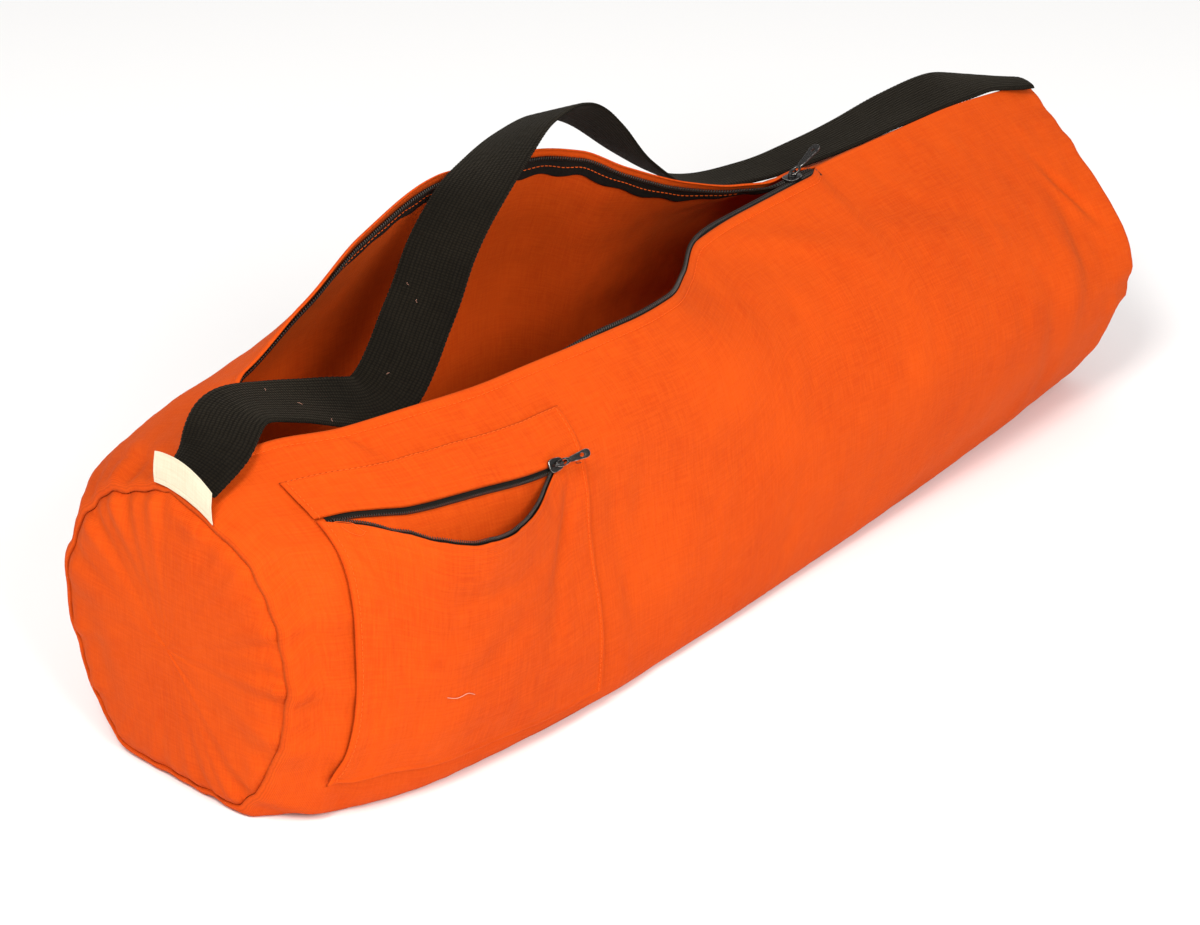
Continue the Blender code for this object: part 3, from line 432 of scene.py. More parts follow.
def gridFaces(rows, columns, wrap=False):
    # quads over a grid of points, numbered row by row; wrap joins the last column to the first
    i = np.arange(rows - 1)[:, None]
    j = np.arange(columns if wrap else columns - 1)[None, :]
    k = (j + 1) % columns
    corner = [i * columns + j, (i + 1) * columns + j, (i + 1) * columns + k, i * columns + k]
    return np.stack([np.broadcast_to(c, (rows - 1, j.shape[1])) for c in corner], -1).reshape(-1, 4)


def fanFaces(tip, first, count):
    # triangles from a ring of points, numbered from first, to one tip point
    j = np.arange(count)
    return np.stack([first + j, first + (j + 1) % count, np.full(count, tip)], -1)


def uvGrid(u, v, shape):
    return np.stack([np.broadcast_to(u, shape), np.broadcast_to(v, shape)], -1).reshape(-1, 2)


def addPiece(name, mesh, material, body="bag", nodes=()):
    made = bpy.data.objects.new(name, mesh)
    mesh.materials.clear()
    mesh.materials.append(material)
    bpy.context.scene.collection.objects.link(made)
    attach(made, body)
    if nodes:
        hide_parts(*nodes)
    return made


def wall(made, thickness, offset=-1.0):
    modifier = made.modifiers.new("wall", "SOLIDIFY")
    modifier.thickness = thickness
    modifier.offset = offset
    modifier.thickness_clamp = 0.9
    return made


def sweptTube(path, radius, sides, upright):
    # a round or oval profile carried along a path: rings of points square to it, and a fan at each end
    forward = unit(np.gradient(path, axis=0))
    across = unit(np.cross(forward, upright))
    up = np.cross(across, forward)
    turn = np.linspace(0, 2 * math.pi, sides, endpoint=False)
    wide, tall = radius if isinstance(radius, tuple) else (radius, radius)
    rings = path[:, None] + across[:, None] * (np.cos(turn)[None, :, None] * wide) \
        + up[:, None] * (np.sin(turn)[None, :, None] * tall)
    points = rings.reshape(-1, 3)
    faces = [gridFaces(len(path), sides, wrap=True)]
    points = np.concatenate([points, path[:1], path[-1:]])
    faces.append(fanFaces(len(points) - 2, 0, sides))
    faces.append(fanFaces(len(points) - 1, (len(path) - 1) * sides, sides)[:, [1, 0, 2]])
    return points, faces


def joinParts(parts):
    # several (points, [faces]) as one: each part's faces move on by the points before it
    points, faces, count = [], [], 0
    for partPoints, partFaces in parts:
        points.append(partPoints)
        faces.extend(block + count for block in partFaces)
        count += len(partPoints)
    return np.concatenate(points), faces


def copiesOf(points, faces, origins, axesX, axesY, axesZ):
    # one small shape repeated: each copy turned to its own three axes and put at its own place
    placed = (points[None, :, 0:1] * axesX[:, None] + points[None, :, 1:2] * axesY[:, None]
              + points[None, :, 2:3] * axesZ[:, None] + origins[:, None])
    moved = [(block[None] + np.arange(len(origins))[:, None, None] * len(points)).reshape(-1, block.shape[1])
             for block in faces]
    return placed.reshape(-1, 3), moved


# materials

def nodeIn(tree, kind, **values):
    # one node, with its sockets given by name or by number as i0, i1, ...
    made = tree.nodes.new(kind)
    for name, value in values.items():
        if name[0] == "i" and name[1:].isdigit():
            socket = made.inputs[int(name[1:])]
        elif name in made.inputs:
            socket = made.inputs[name]
        else:
            setattr(made, name, value)
            continue
        if isinstance(value, bpy.types.NodeSocket):
            tree.links.new(value, socket)
        else:
            socket.default_value = value
    return made


def mathNode(tree, how, a, b=None):
    made = tree.nodes.new("ShaderNodeMath")
    made.operation = how
    for socket, value in zip(made.inputs, (a, b)):
        if isinstance(value, bpy.types.NodeSocket):
            tree.links.new(value, socket)
        elif value is not None:
            socket.default_value = value
    return made.outputs[0]


def newGroup(name, inputs, outputs):
    tree = bpy.data.node_groups.new(name, "ShaderNodeTree")
    for socketName, kind, value in inputs:
        socket = tree.interface.new_socket(socketName, in_out="INPUT", socket_type=kind)
        if value is not None:
            socket.default_value = value
    for socketName in outputs:
        tree.interface.new_socket(socketName, in_out="OUTPUT", socket_type="NodeSocketFloat")
    return tree, tree.nodes.new("NodeGroupInput").outputs, tree.nodes.new("NodeGroupOutput").inputs


def makeWeaveGroup():
    # over-and-under threads: height = |sin(pi u) sin(pi v)|, with slubs as long noise down each thread
    tree, given, out = newGroup("weaveThreads", [
        ("Place", "NodeSocketVector", None), ("ThreadsAlong", "NodeSocketFloat", 1700.0),
        ("ThreadsAcross", "NodeSocketFloat", 1700.0), ("Wander", "NodeSocketFloat", 0.25),
    ], ["Height", "Slub"])
    wander = nodeIn(tree, "ShaderNodeTexNoise", Vector=given["Place"], Scale=260.0, Detail=2.0)
    split = nodeIn(tree, "ShaderNodeSeparateXYZ", i0=given["Place"])
    drift = mathNode(tree, "MULTIPLY", mathNode(tree, "SUBTRACT", wander.outputs[0], 0.5), given["Wander"])
    u = mathNode(tree, "ADD", mathNode(tree, "MULTIPLY", split.outputs[0], given["ThreadsAlong"]), drift)
    v = mathNode(tree, "ADD", mathNode(tree, "MULTIPLY", split.outputs[1], given["ThreadsAcross"]), drift)
    crossing = mathNode(tree, "MULTIPLY", mathNode(tree, "SINE", mathNode(tree, "MULTIPLY", u, math.pi)),
                        mathNode(tree, "SINE", mathNode(tree, "MULTIPLY", v, math.pi)))
    tree.links.new(mathNode(tree, "ABSOLUTE", crossing), out["Height"])
    threads = []
    for long, short in ((60.0, 900.0), (900.0, 60.0)):
        stretched = nodeIn(tree, "ShaderNodeMapping", Vector=given["Place"], Scale=(long, short, 1.0))
        threads.append(nodeIn(tree, "ShaderNodeTexNoise", Vector=stretched.outputs[0], Scale=1.0, Detail=1.0))
    slub = mathNode(tree, "ADD", threads[0].outputs[0], threads[1].outputs[0])
    tree.links.new(mathNode(tree, "MULTIPLY", slub, 0.5), out["Slub"])
    return tree


def makeMottleGroup():
    # slow unevenness of dye, dust and handling: two noises of unlike size, 0 to 1
    tree, given, out = newGroup("dyeMottle", [
        ("Place", "NodeSocketVector", None), ("Broad", "NodeSocketFloat", 18.0),
        ("Fine", "NodeSocketFloat", 240.0),
    ], ["Broad", "Fine"])
    for name, detail in (("Broad", 3.0), ("Fine", 2.0)):
        noise = nodeIn(tree, "ShaderNodeTexNoise", Vector=given["Place"], Scale=given[name], Detail=detail)
        tree.links.new(noise.outputs[0], out[name])
    return tree


weaveGroup = makeWeaveGroup()
mottleGroup = makeMottleGroup()


def newMaterial(name):
    made = bpy.data.materials.new(name)
    made.use_nodes = True
    return made, made.node_tree, made.node_tree.nodes["Principled BSDF"]


def useGroup(tree, group, **values):
    made = tree.nodes.new("ShaderNodeGroup")
    made.node_tree = group
    for name, value in values.items():
        if isinstance(value, bpy.types.NodeSocket):
            tree.links.new(value, made.inputs[name])
        else:
            made.inputs[name].default_value = value
    return made.outputs


def mottleIn(tree, broad, fine):
    place = nodeIn(tree, "ShaderNodeTexCoord").outputs["Object"]
    return useGroup(tree, mottleGroup, Place=place, Broad=broad, Fine=fine)


def mixColors(tree, factor, first, second, how="MIX"):
    made = tree.nodes.new("ShaderNodeMix")
    made.data_type = "RGBA"
    made.blend_type = how
    for socket, value in ((made.inputs[0], factor), (made.inputs[6], first), (made.inputs[7], second)):
        if isinstance(value, bpy.types.NodeSocket):
            tree.links.new(value, socket)
        else:
            socket.default_value = value if not isinstance(value, tuple) else (*value, 1.0)
    return made.outputs[2]


def rampOf(tree, value, low, high, lowTo=0.0, highTo=1.0):
    made = nodeIn(tree, "ShaderNodeMapRange", i0=value)
    for i, number in enumerate((low, high, lowTo, highTo)):
        made.inputs[i + 1].default_value = number
    return made.outputs[0]


def bumpInto(tree, shader, heights):
    # heights: (socket, depth in metres, strength), laid on one another
    normal = None
    for height, depth, strength in heights:
        bump = nodeIn(tree, "ShaderNodeBump", Height=height, Distance=depth, Strength=strength)
        if normal is not None:
            tree.links.new(normal, bump.inputs["Normal"])
        normal = bump.outputs[0]
    tree.links.new(normal, shader.inputs["Normal"])


def makeClothMaterial(name, look):
    # woven cloth: base colour from dye mottle and slubs, darkened by painted shade in the gaps between
    # threads, roughness and bump from the threads
    made, tree, shader = newMaterial(name)
    uv = nodeIn(tree, "ShaderNodeUVMap", uv_map="cloth").outputs[0]
    place = nodeIn(tree, "ShaderNodeTexCoord").outputs["Object"]
    threads = useGroup(tree, weaveGroup, Place=uv, ThreadsAlong=look["threadsAlong"],
                       ThreadsAcross=look["threadsAcross"], Wander=look["wander"])
    mottle = useGroup(tree, mottleGroup, Place=place, Broad=look["mottle"], Fine=look["speckle"])
    color = mixColors(tree, rampOf(tree, mottle["Broad"], 0.3, 0.7), look["deep"], look["light"])
    slub = rampOf(tree, threads["Slub"], 0.35, 0.65, 0.0, look["slub"])
    color = mixColors(tree, slub, color, look["slubColor"])
    # painted shade: where the thread height is low, in the gaps between threads, the colour is multiplied
    # down towards the look's gap value
    shade = rampOf(tree, threads["Height"], 0.0, 0.7, look["gap"], 1.0)
    shadeColor = nodeIn(tree, "ShaderNodeCombineColor", i0=shade, i1=shade, i2=shade).outputs[0]
    color = mixColors(tree, 1.0, color, shadeColor, "MULTIPLY")
    tree.links.new(color, shader.inputs["Base Color"])
    tree.links.new(rampOf(tree, mottle["Fine"], 0.3, 0.7, *look["roughness"]), shader.inputs["Roughness"])
    shader.inputs["Specular IOR Level"].default_value = look["specular"]
    shader.inputs["Sheen Weight"].default_value = look["sheen"]
    shader.inputs["Sheen Roughness"].default_value = 0.45
    shader.inputs["Sheen Tint"].default_value = (*look["sheenTint"], 1.0)
    bumpInto(tree, shader, [
        (mottle["Broad"], look["broadBump"], 0.5), (mottle["Fine"], look["fineBump"], 0.6),
        (threads["Slub"], look["slubBump"], 0.6), (threads["Height"], look["threadBump"], 0.8)])
    return made


# in each look, gap is the share of the colour left in the painted shade between threads
canvasLook = {"threadsAlong": 1500.0, "threadsAcross": 1500.0, "wander": 0.8, "mottle": 14.0,
              "speckle": 420.0, "deep": (0.55, 0.050, 0.0016), "light": (0.63, 0.066, 0.0024), "slub": 0.5,
              "slubColor": (0.71, 0.092, 0.005), "gap": 0.74, "roughness": (0.80, 0.92), "specular": 0.10,
              "sheen": 0.07, "sheenTint": (1.0, 0.38, 0.08), "broadBump": 0.0008, "fineBump": 0.00015,
              "slubBump": 0.00012, "threadBump": 0.00010}
tapeLook = dict(canvasLook, threadsAlong=1100.0, threadsAcross=1900.0, deep=(0.006, 0.005, 0.004),
                light=(0.011, 0.009, 0.007), slub=0.3, slubColor=(0.022, 0.018, 0.014), gap=0.5,
                roughness=(0.7, 0.85), sheen=0.03, sheenTint=(0.5, 0.45, 0.4), broadBump=0.0002)
webbingLook = dict(canvasLook, threadsAlong=640.0, threadsAcross=470.0, wander=0.5, mottle=30.0,
                   deep=(0.0050, 0.0036, 0.0020), light=(0.0085, 0.0062, 0.0036), slub=0.25,
                   slubColor=(0.020, 0.016, 0.010), gap=0.35, roughness=(0.82, 0.95), specular=0.08,
                   sheen=0.05, sheenTint=(0.55, 0.47, 0.34), broadBump=0.0002, slubBump=0.0002,
                   threadBump=0.00055)
cottonLook = dict(canvasLook, threadsAlong=2200.0, threadsAcross=2200.0, deep=(0.62, 0.53, 0.37),
                  light=(0.72, 0.64, 0.47), slub=0.4, slubColor=(0.82, 0.76, 0.60), gap=0.82,
                  sheen=0.15, sheenTint=(1.0, 0.95, 0.85), broadBump=0.0003)


coilLook = {"deep": (0.010, 0.008, 0.006), "light": (0.030, 0.022, 0.016), "roughness": (0.30, 0.46)}
enamelLook = {"deep": (0.012, 0.011, 0.011), "light": (0.035, 0.032, 0.030), "bare": (0.48, 0.46, 0.43),
              "wearShare": 0.75, "noiseLevel": 0.62, "rubbed": (0.42, 0.62), "roughness": (0.20, 0.38)}


def makeCoilMaterial():
    made, tree, shader = newMaterial("nylonCoil")
    mottle = mottleIn(tree, 60.0, 900.0)
    color = mixColors(tree, mottle["Fine"], coilLook["deep"], coilLook["light"])
    tree.links.new(color, shader.inputs["Base Color"])
    roughness = rampOf(tree, mottle["Broad"], 0.3, 0.7, *coilLook["roughness"])
    tree.links.new(roughness, shader.inputs["Roughness"])
    bumpInto(tree, shader, [(mottle["Fine"], 0.00004, 0.5)])
    return made


def makeMetalMaterial():
    # dark enamel over pale metal: rubbed through where the wear attribute is high and the noise agrees
    made, tree, shader = newMaterial("darkEnamel")
    mottle = mottleIn(tree, 420.0, 1900.0)
    wear = nodeIn(tree, "ShaderNodeAttribute", attribute_name="wear").outputs["Fac"]
    worn = mathNode(tree, "MULTIPLY", wear, enamelLook["wearShare"])
    noise = mathNode(tree, "SUBTRACT", mottle["Broad"], enamelLook["noiseLevel"])
    rubbed = rampOf(tree, mathNode(tree, "ADD", worn, noise), *enamelLook["rubbed"])
    coat = mixColors(tree, mottle["Broad"], enamelLook["deep"], enamelLook["light"])
    tree.links.new(mixColors(tree, rubbed, coat, enamelLook["bare"]), shader.inputs["Base Color"])
    tree.links.new(rampOf(tree, rubbed, 0.0, 1.0, 0.65, 1.0), shader.inputs["Metallic"])
    roughness = rampOf(tree, mottle["Fine"], 0.3, 0.7, *enamelLook["roughness"])
    tree.links.new(roughness, shader.inputs["Roughness"])
    bumpInto(tree, shader, [(mottle["Broad"], 0.00006, 0.5), (mottle["Fine"], 0.00002, 0.4)])
    return made


def makeThreadMaterial(name, deep, light):
    made, tree, shader = newMaterial(name)
    mottle = mottleIn(tree, 150.0, 2600.0)
    tree.links.new(mixColors(tree, mottle["Fine"], deep, light), shader.inputs["Base Color"])
    tree.links.new(rampOf(tree, mottle["Broad"], 0.3, 0.7, 0.5, 0.7), shader.inputs["Roughness"])
    shader.inputs["Specular IOR Level"].default_value = 0.15
    bumpInto(tree, shader, [(mottle["Fine"], 0.00006, 0.6)])
    return made


canvas = makeClothMaterial("orangeCanvas", canvasLook)
zipTape = makeClothMaterial("zipTape", tapeLook)
webbing = makeClothMaterial("ribbedWebbing", webbingLook)
cotton = makeClothMaterial("creamCotton", cottonLook)
coil = makeCoilMaterial()
enamel = makeMetalMaterial()
orangeThread = makeThreadMaterial("orangeThread", (0.60, 0.062, 0.003), (0.80, 0.125, 0.008))
paleThread = makeThreadMaterial("paleThread", (0.50, 0.22, 0.15), (0.66, 0.36, 0.27))
blackThread = makeThreadMaterial("blackThread", (0.008, 0.007, 0.006), (0.03, 0.026, 0.022))
print("materials made")


# the tube and its ends

def makeTube():
    # beyond the mouth the first and last columns are one line of points, so that the ridge has no slit
    along = rowsAlong(tube["rows"])
    grid, at, total = fullTube(along)
    number = np.arange(at.size).reshape(at.shape)
    closed = ~inMouth(along)
    number[closed, -1] = number[closed, 0]
    middle = (grid[closed, 0] + grid[closed, -1]) / 2
    grid[closed, 0] = middle
    grid[closed, -1] = middle
    faces = gridFaces(*at.shape)[:, ::-1]
    uvs = uvGrid(along[:, None], at, at.shape)
    used, joined = np.unique(number.ravel()[faces], return_inverse=True)
    mesh = meshFrom("tube_cloth", grid.reshape(-1, 3)[used], joined.reshape(faces.shape))
    layer = mesh.uv_layers.new(name="cloth")
    layer.data.foreach_set("uv", np.ascontiguousarray(uvs[faces.ravel()], np.float32).ravel())
    made = addPiece("tube_cloth", mesh, canvas, nodes=["body_panel"])
    wall(made, tube["wall"])


endDisc = {"rings": 34, "around": 260, "inward": 0.8, "inset": 0.0006, "sunk": 0.0008, "roll": 0.0040,
           "rollLength": 0.0042, "dome": 0.0024, "pucker": 0.0026, "farPucker": 0.0018, "puckerReach": 0.016,
           "calm": 0.006, "grain": 0.0008, "grainSize": 0.06, "flat": (0.19, 0.19), "area": 0.0265}

# creases of the round ends: place across and height, direction in degrees, half length, half width and depth
nearEndCreases = (
    (-0.062, 0.040, 118.0, 0.026, 0.0045, 0.0024),
    (-0.045, 0.022, 100.0, 0.020, 0.0050, 0.0018),
    (0.030, 0.120, 40.0, 0.030, 0.0100, 0.0012),
    (0.060, 0.060, 70.0, 0.028, 0.0080, 0.0014),
    (-0.020, 0.150, 10.0, 0.024, 0.0070, 0.0012),
    (-0.070, 0.090, 85.0, 0.024, 0.0055, 0.0014),
)
farEndCreases = (
    (0.050, 0.050, 60.0, 0.028, 0.0060, 0.0016),
    (-0.040, 0.070, 110.0, 0.030, 0.0070, 0.0018),
    (0.010, 0.130, 20.0, 0.026, 0.0080, 0.0014),
)


def makeEnd(name, way, rows, seed):
    # rings shrink from the seam to the middle: a tight roll out of the seam, then a slack domed face
    around = endDisc["around"]
    end = np.sort([bag["length"] / 2 * way, bag["length"] / 2 * way - way * 0.004])
    total = lengthsOf(sectionLines(end))[:, -1]
    turn = np.linspace(0, 1, around, endpoint=False)
    ring = fullTube(end, total[:, None] * turn)[0][0 if way < 0 else 1]
    centre = ring.mean(axis=0)
    share = 1 - np.linspace(0, 1, endDisc["rings"] + 1)[:-1] ** endDisc["inward"]
    rim = ring + unit(centre - ring) * endDisc["inset"]
    level = centre + (rim - centre)[None] * share[:, None, None]
    fromRim = np.linalg.norm(rim[None] - level, axis=2)
    calm = smoothstep(0, endDisc["calm"], fromRim)
    out = endDisc["roll"] * (1 - np.exp(-fromRim / endDisc["rollLength"]))
    out = out + endDisc["dome"] * (1 - share[:, None] ** 2)
    gather = puckers(np.broadcast_to(turn, fromRim.shape), seed, tube["gathers"])
    gather = gather * np.exp(-fromRim / endDisc["puckerReach"]) * smoothstep(0, 0.004, fromRim)
    out = out - (endDisc["pucker"] if way < 0 else endDisc["farPucker"]) * gather
    out = out - creases(level[..., 1], level[..., 2], rows) * calm
    grain = ripple(level[..., 1], level[..., 2], seed + 1, size=endDisc["grainSize"])
    out = out - endDisc["grain"] * grain * calm
    level[..., 0] = ring[None, :, 0] + way * (out - endDisc["sunk"])
    outer = np.concatenate([level.reshape(-1, 3), level[-1].mean(axis=0)[None]])
    points = np.concatenate([outer, outer - np.array([way * tube["wall"], 0, 0])])
    count = len(outer)
    faces = gridFaces(len(share), around, wrap=True)
    fan = fanFaces(count - 1, (len(share) - 1) * around, around)[:, [1, 0, 2]]
    j = np.arange(around)
    k = (j + 1) % around
    rimFaces = np.stack([j, k, count + k, count + j], -1)
    blocks = [faces, fan, faces[:, ::-1] + count, fan[:, ::-1] + count, rimFaces]
    if way > 0:
        blocks = [block[:, ::-1] for block in blocks]
    mesh = meshFrom(name, points, blocks, uvs=points[:, 1:])
    mesh.set_sharp_from_angle(angle=math.radians(60))
    node = "end_panel_near" if way < 0 else "end_panel_far"
    made = addPiece(name, mesh, canvas, nodes=[node])


makeTube()
makeEnd("near_end_cloth", -1, nearEndCreases, 11)
makeEnd("far_end_cloth", 1, farEndCreases, 12)
print("tube and ends made")


# the main zip

mainZip = {"start": -0.326, "end": 0.1415, "rows": 330, "columns": 12, "low": 0.0150, "wave": 0.0012,
           "waveLength": 0.024, "nearWave": 0.4, "nearShow": 0.0014, "tuck": -0.0040, "farShow": -0.0040,
           "showFrom": (0.36, 0.52), "edgeDepth": 0.0012, "thick": 0.0006, "rest": 0.0006,
           "shutWidth": 0.0062, "shutBlend": 0.0040, "shutEdge": 0.0026, "shutReach": 0.0155,
           "shutUnder": 0.003, "flat": (0.50, 0.015)}
mainCoil = {"wide": 0.00108, "tall": 0.00088, "wire": 0.00040, "pitch": 0.00165, "turnSteps": 11, "sides": 5}
coilBeyond = 0.0004


def makeCoil(name, route, across, upright, look, node):
    # a nylon coil: a wire wound on an oval helix round the route, a turn every pitch
    lengths = lengthsOf(route)
    turns = int(lengths[-1] / look["pitch"])
    s = np.linspace(0, lengths[-1], turns * look["turnSteps"] + 1)
    angle = (2 * math.pi * turns * s / lengths[-1])[:, None]
    middle, side, up = (readAlong(values, lengths, s) for values in (route, across, upright))
    wound = middle + side * (look["wide"] * np.cos(angle)) + up * (look["tall"] * np.sin(angle))
    forward = unit(np.gradient(middle, axis=0))
    points, faces = sweptTube(wound, look["wire"], look["sides"], forward)
    addPiece(name, meshFrom(name, points, faces), coil, nodes=[node])


def zipSide(near):
    # one tape: it lies inside the lip, its free edge wavy, and goes flat where the zip is shut
    along = np.linspace(mainZip["start"], mainZip["end"], mainZip["rows"])
    show = np.full_like(along, mainZip["farShow"])
    if near:
        byMouth = smoothstep(*mainZip["showFrom"], mouthShare(along))
        show = mainZip["tuck"] + (mainZip["nearShow"] - mainZip["tuck"]) * byMouth
    u = along - along[0]
    wave = np.sin(2 * math.pi * u / mainZip["waveLength"] + 1.5 * np.sin(u / 0.037))
    low = mainZip["low"] + mainZip["wave"] * wave * (mainZip["nearWave"] if near else 1.0)
    q = np.linspace(0, 1, mainZip["columns"])[None, :]
    fromLip = low[:, None] * (1 - q) - show[:, None] * q
    total = lengthsOf(sectionLines(along))[:, -1]
    inside = np.maximum(fromLip, 0)
    at = inside[:, ::-1] if near else total[:, None] - inside
    grid, at, total = tubeSurface(along, at)
    grid = tubeEndShape(grid, along, at, total)
    grid = grid[:, ::-1] if near else grid
    edges = [total * 0, total * 0 + 0.004] if near else [total, total - 0.004]
    lips = tubeSurface(along, np.stack(edges, 1), detail=False)[0]
    past = lips[:, 0] - lips[:, 1]
    past[:, 0] = 0
    past = unit(past)
    side = -1.0 if near else 1.0
    inward = np.stack([np.zeros(len(along)), -side * past[:, 2], side * past[:, 1]], 1)
    beyond = np.maximum(-fromLip, 0)
    inner = tube["wall"] + mainZip["rest"]
    sunk = mainZip["edgeDepth"] + (inner - mainZip["edgeDepth"]) * smoothstep(-0.0012, 0.0015, fromLip)
    sheet = grid + past[:, None] * beyond[..., None] + inward[:, None] * sunk[..., None]
    shut = np.clip(1 - (np.abs(lips[:, 0, 1]) - mainZip["shutWidth"]) / mainZip["shutBlend"], 0, 1)
    shutY = side * (mainZip["shutEdge"] + (mainZip["shutReach"] - mainZip["shutEdge"]) * (1 - q))
    under = 1 - smoothstep(mainZip["shutWidth"] - mainZip["shutUnder"], mainZip["shutWidth"], np.abs(shutY))
    height = np.where(np.abs(shutY) < mainZip["shutWidth"], lips[:, :1, 2], grid[..., 2])
    flat = np.empty_like(sheet)
    flat[..., 0] = along[:, None]
    flat[..., 1] = shutY
    flat[..., 2] = height - inner * (1 - under) - mainZip["edgeDepth"] * under
    sheet = sheet * (1 - shut)[:, None, None] + flat * shut[:, None, None]
    return sheet, inward, u, low


def makeZipSide(near):
    tag = "near" if near else "far"
    sheet, inward, u, low = zipSide(near)
    faces = gridFaces(*sheet.shape[:2])
    if not near:
        faces = faces[:, ::-1]
    uv = uvGrid(u[:, None], low[:, None] * np.linspace(1, 0, mainZip["columns"]), sheet.shape[:2])
    mesh = meshFrom("zip_tape_" + tag, sheet.reshape(-1, 3), faces, uvs=uv)
    made = addPiece("zip_tape_" + tag, mesh, zipTape, nodes=["main_zip_tape_" + tag])
    wall(made, mainZip["thick"])
    toward = unit(sheet[:, -1] - sheet[:, -2])
    route = sheet[:, -1] + toward * coilBeyond + inward * mainZip["thick"] / 2
    upright = np.cross(toward, unit(np.gradient(route, axis=0)))
    makeCoil("zip_coil_" + tag, route, toward, upright, mainCoil, "main_zip_coil_" + tag)


makeZipSide(True)
makeZipSide(False)
print("main zip made")


# the pocket

pocket = {"left": -0.328, "right": -0.150, "drop": 0.0272, "strip": 0.027, "depth": 0.138, "bulge": 0.017,
          "sag": 0.030, "sagAll": 0.0008, "lean": 0.016, "leftReach": 0.014, "gapeEnd": 0.88, "gapeLean": 0.9,
          "bulgeAcross": 0.8, "bulgeDown": 0.7, "cloth": 0.0013, "rest": 0.0008, "clear": 0.0012, "rows": 170,
          "stripColumns": 26, "panelColumns": 112, "hem": 0.0005, "hemWidth": 0.0032, "hemStep": 0.0005,
          "groove": 0.0003, "grooveWide": 0.0006, "edgeTurn": 0.0009, "turnWide": 0.0011, "sliderShare": 0.86,
          "stripFlat": (0.178, 0.027), "frontFlat": (0.178, 0.150)}
pocketZip = {"tape": 0.0042, "upperTape": 0.0024, "upperRise": 0.6, "upperSink": 0.0004, "lipSink": 0.0003,
             "lipShow": 0.0008, "thick": 0.0005, "columns": 6, "from": 0.035, "to": 0.975,
             "flat": (0.167, 0.010), "area": 0.00070}
pocketCoil = {"wide": 0.0008, "tall": 0.00064, "wire": 0.00029, "pitch": 0.00125, "turnSteps": 10, "sides": 5}

# folds of the pocket's front: share across, share down, direction in degrees from level, then half length,
# half width and depth in metres
pocketFolds = (
    (0.06, 0.10, 52.0, 0.040, 0.0060, 0.0022),
    (0.12, 0.30, 78.0, 0.060, 0.0075, 0.0018),
    (0.05, 0.60, 85.0, 0.060, 0.0070, 0.0020),
    (0.90, 0.16, 122.0, 0.040, 0.0060, 0.0018),
    (0.80, 0.42, 108.0, 0.050, 0.0090, 0.0014),
    (0.50, 0.22, 4.0, 0.055, 0.0080, 0.0012),
    (0.40, 0.62, 150.0, 0.050, 0.0110, 0.0012),
    (0.70, 0.80, 30.0, 0.045, 0.0090, 0.0012),
)


def pocketSurface():
    # the tube's face under the pocket, with its left edge slanting, and the ways out from it and down it
    along = np.linspace(pocket["left"], pocket["right"], pocket["rows"])
    down = np.concatenate([np.linspace(0, pocket["strip"], pocket["stripColumns"]),
                           pocket["strip"] + np.linspace(0, pocket["depth"], pocket["panelColumns"])[1:]])
    toLeft = (pocket["right"] - along[:, None]) / (pocket["right"] - pocket["left"])
    past = pocket["leftReach"] * toLeft**2 * smoothstep(pocket["strip"], down[-1], down)
    at = pocket["drop"] + down + past
    grid = tubeSurface(along, at)[0]
    plain = tubeSurface(along, at, detail=False)[0]
    lean = pocket["lean"] * (1 - (down / down[-1]) ** 3)
    share = np.linspace(0, 1, len(along))[:, None]
    newAlong = (pocket["left"] + lean) + share * (pocket["right"] - pocket["left"] - lean)
    places = np.broadcast_to(along, (len(down), len(along)))
    moved, smooth = (np.stack([rowInterp(newAlong.T, places, face[..., k].T).T for k in range(3)], -1)
                     for face in (grid, plain))
    fall = unit(np.gradient(smooth, axis=1))
    across, down = (np.broadcast_to(values, newAlong.shape) for values in (share, down))
    return moved, outwardOf(smooth), fall, across, down


def gapeAt(across):
    # how far the front's lip stands open, 0 to 1, most to the left of the slider
    share = np.clip(across / pocket["gapeEnd"], 0, 1)
    return np.sin(math.pi * share ** pocket["gapeLean"])


def edgeFall(across, down, width, height):
    # how far a point lies from the nearest edge of a cloth width by height
    return np.minimum(np.minimum(across, 1 - across) * width, np.minimum(down, height - down))


def hemLift(fromEdge):
    # the face of a hemmed cloth: a thicker turned edge, a stitch groove and a rounded rim
    width = pocket["hemWidth"]
    step = smoothstep(width - pocket["hemStep"], width + pocket["hemStep"], fromEdge)
    lift = pocket["cloth"] + pocket["hem"] * (1 - step)
    lift = lift - pocket["groove"] * np.exp(-((fromEdge - width) / pocket["grooveWide"]) ** 2)
    return lift - pocket["edgeTurn"] * (1 - smoothstep(0, pocket["turnWide"], fromEdge))


def pocketCloth(name, points, across, down, node):
    uv = uvGrid(across * pocketWidth, down, across.shape)
    mesh = meshFrom(name, points.reshape(-1, 3), gridFaces(*across.shape)[:, ::-1], uvs=uv)
    made = addPiece(name, mesh, canvas, nodes=[node])
    wall(made, pocket["cloth"])


pocketUnder, pocketOut, pocketFall, pocketAcross, pocketDown = pocketSurface()
pocketWidth = pocket["right"] - pocket["left"] - pocket["lean"] * 0.5


def makePocketStrip():
    n = pocket["stripColumns"]
    under, out, across, down = pocketUnder[:, :n], pocketOut[:, :n], pocketAcross[:, :n], pocketDown[:, :n]
    fromEdge = edgeFall(across, down, pocketWidth, pocket["strip"])
    lift = pocket["rest"] + hemLift(fromEdge)
    lift = lift + 0.0004 * ripple(across * pocketWidth, down, 41, size=0.03) * smoothstep(0, 0.006, fromEdge)
    points = under + out * lift[..., None]
    pocketCloth("pocket_top_strip", points, across, down, "pocket_strip")
    return points


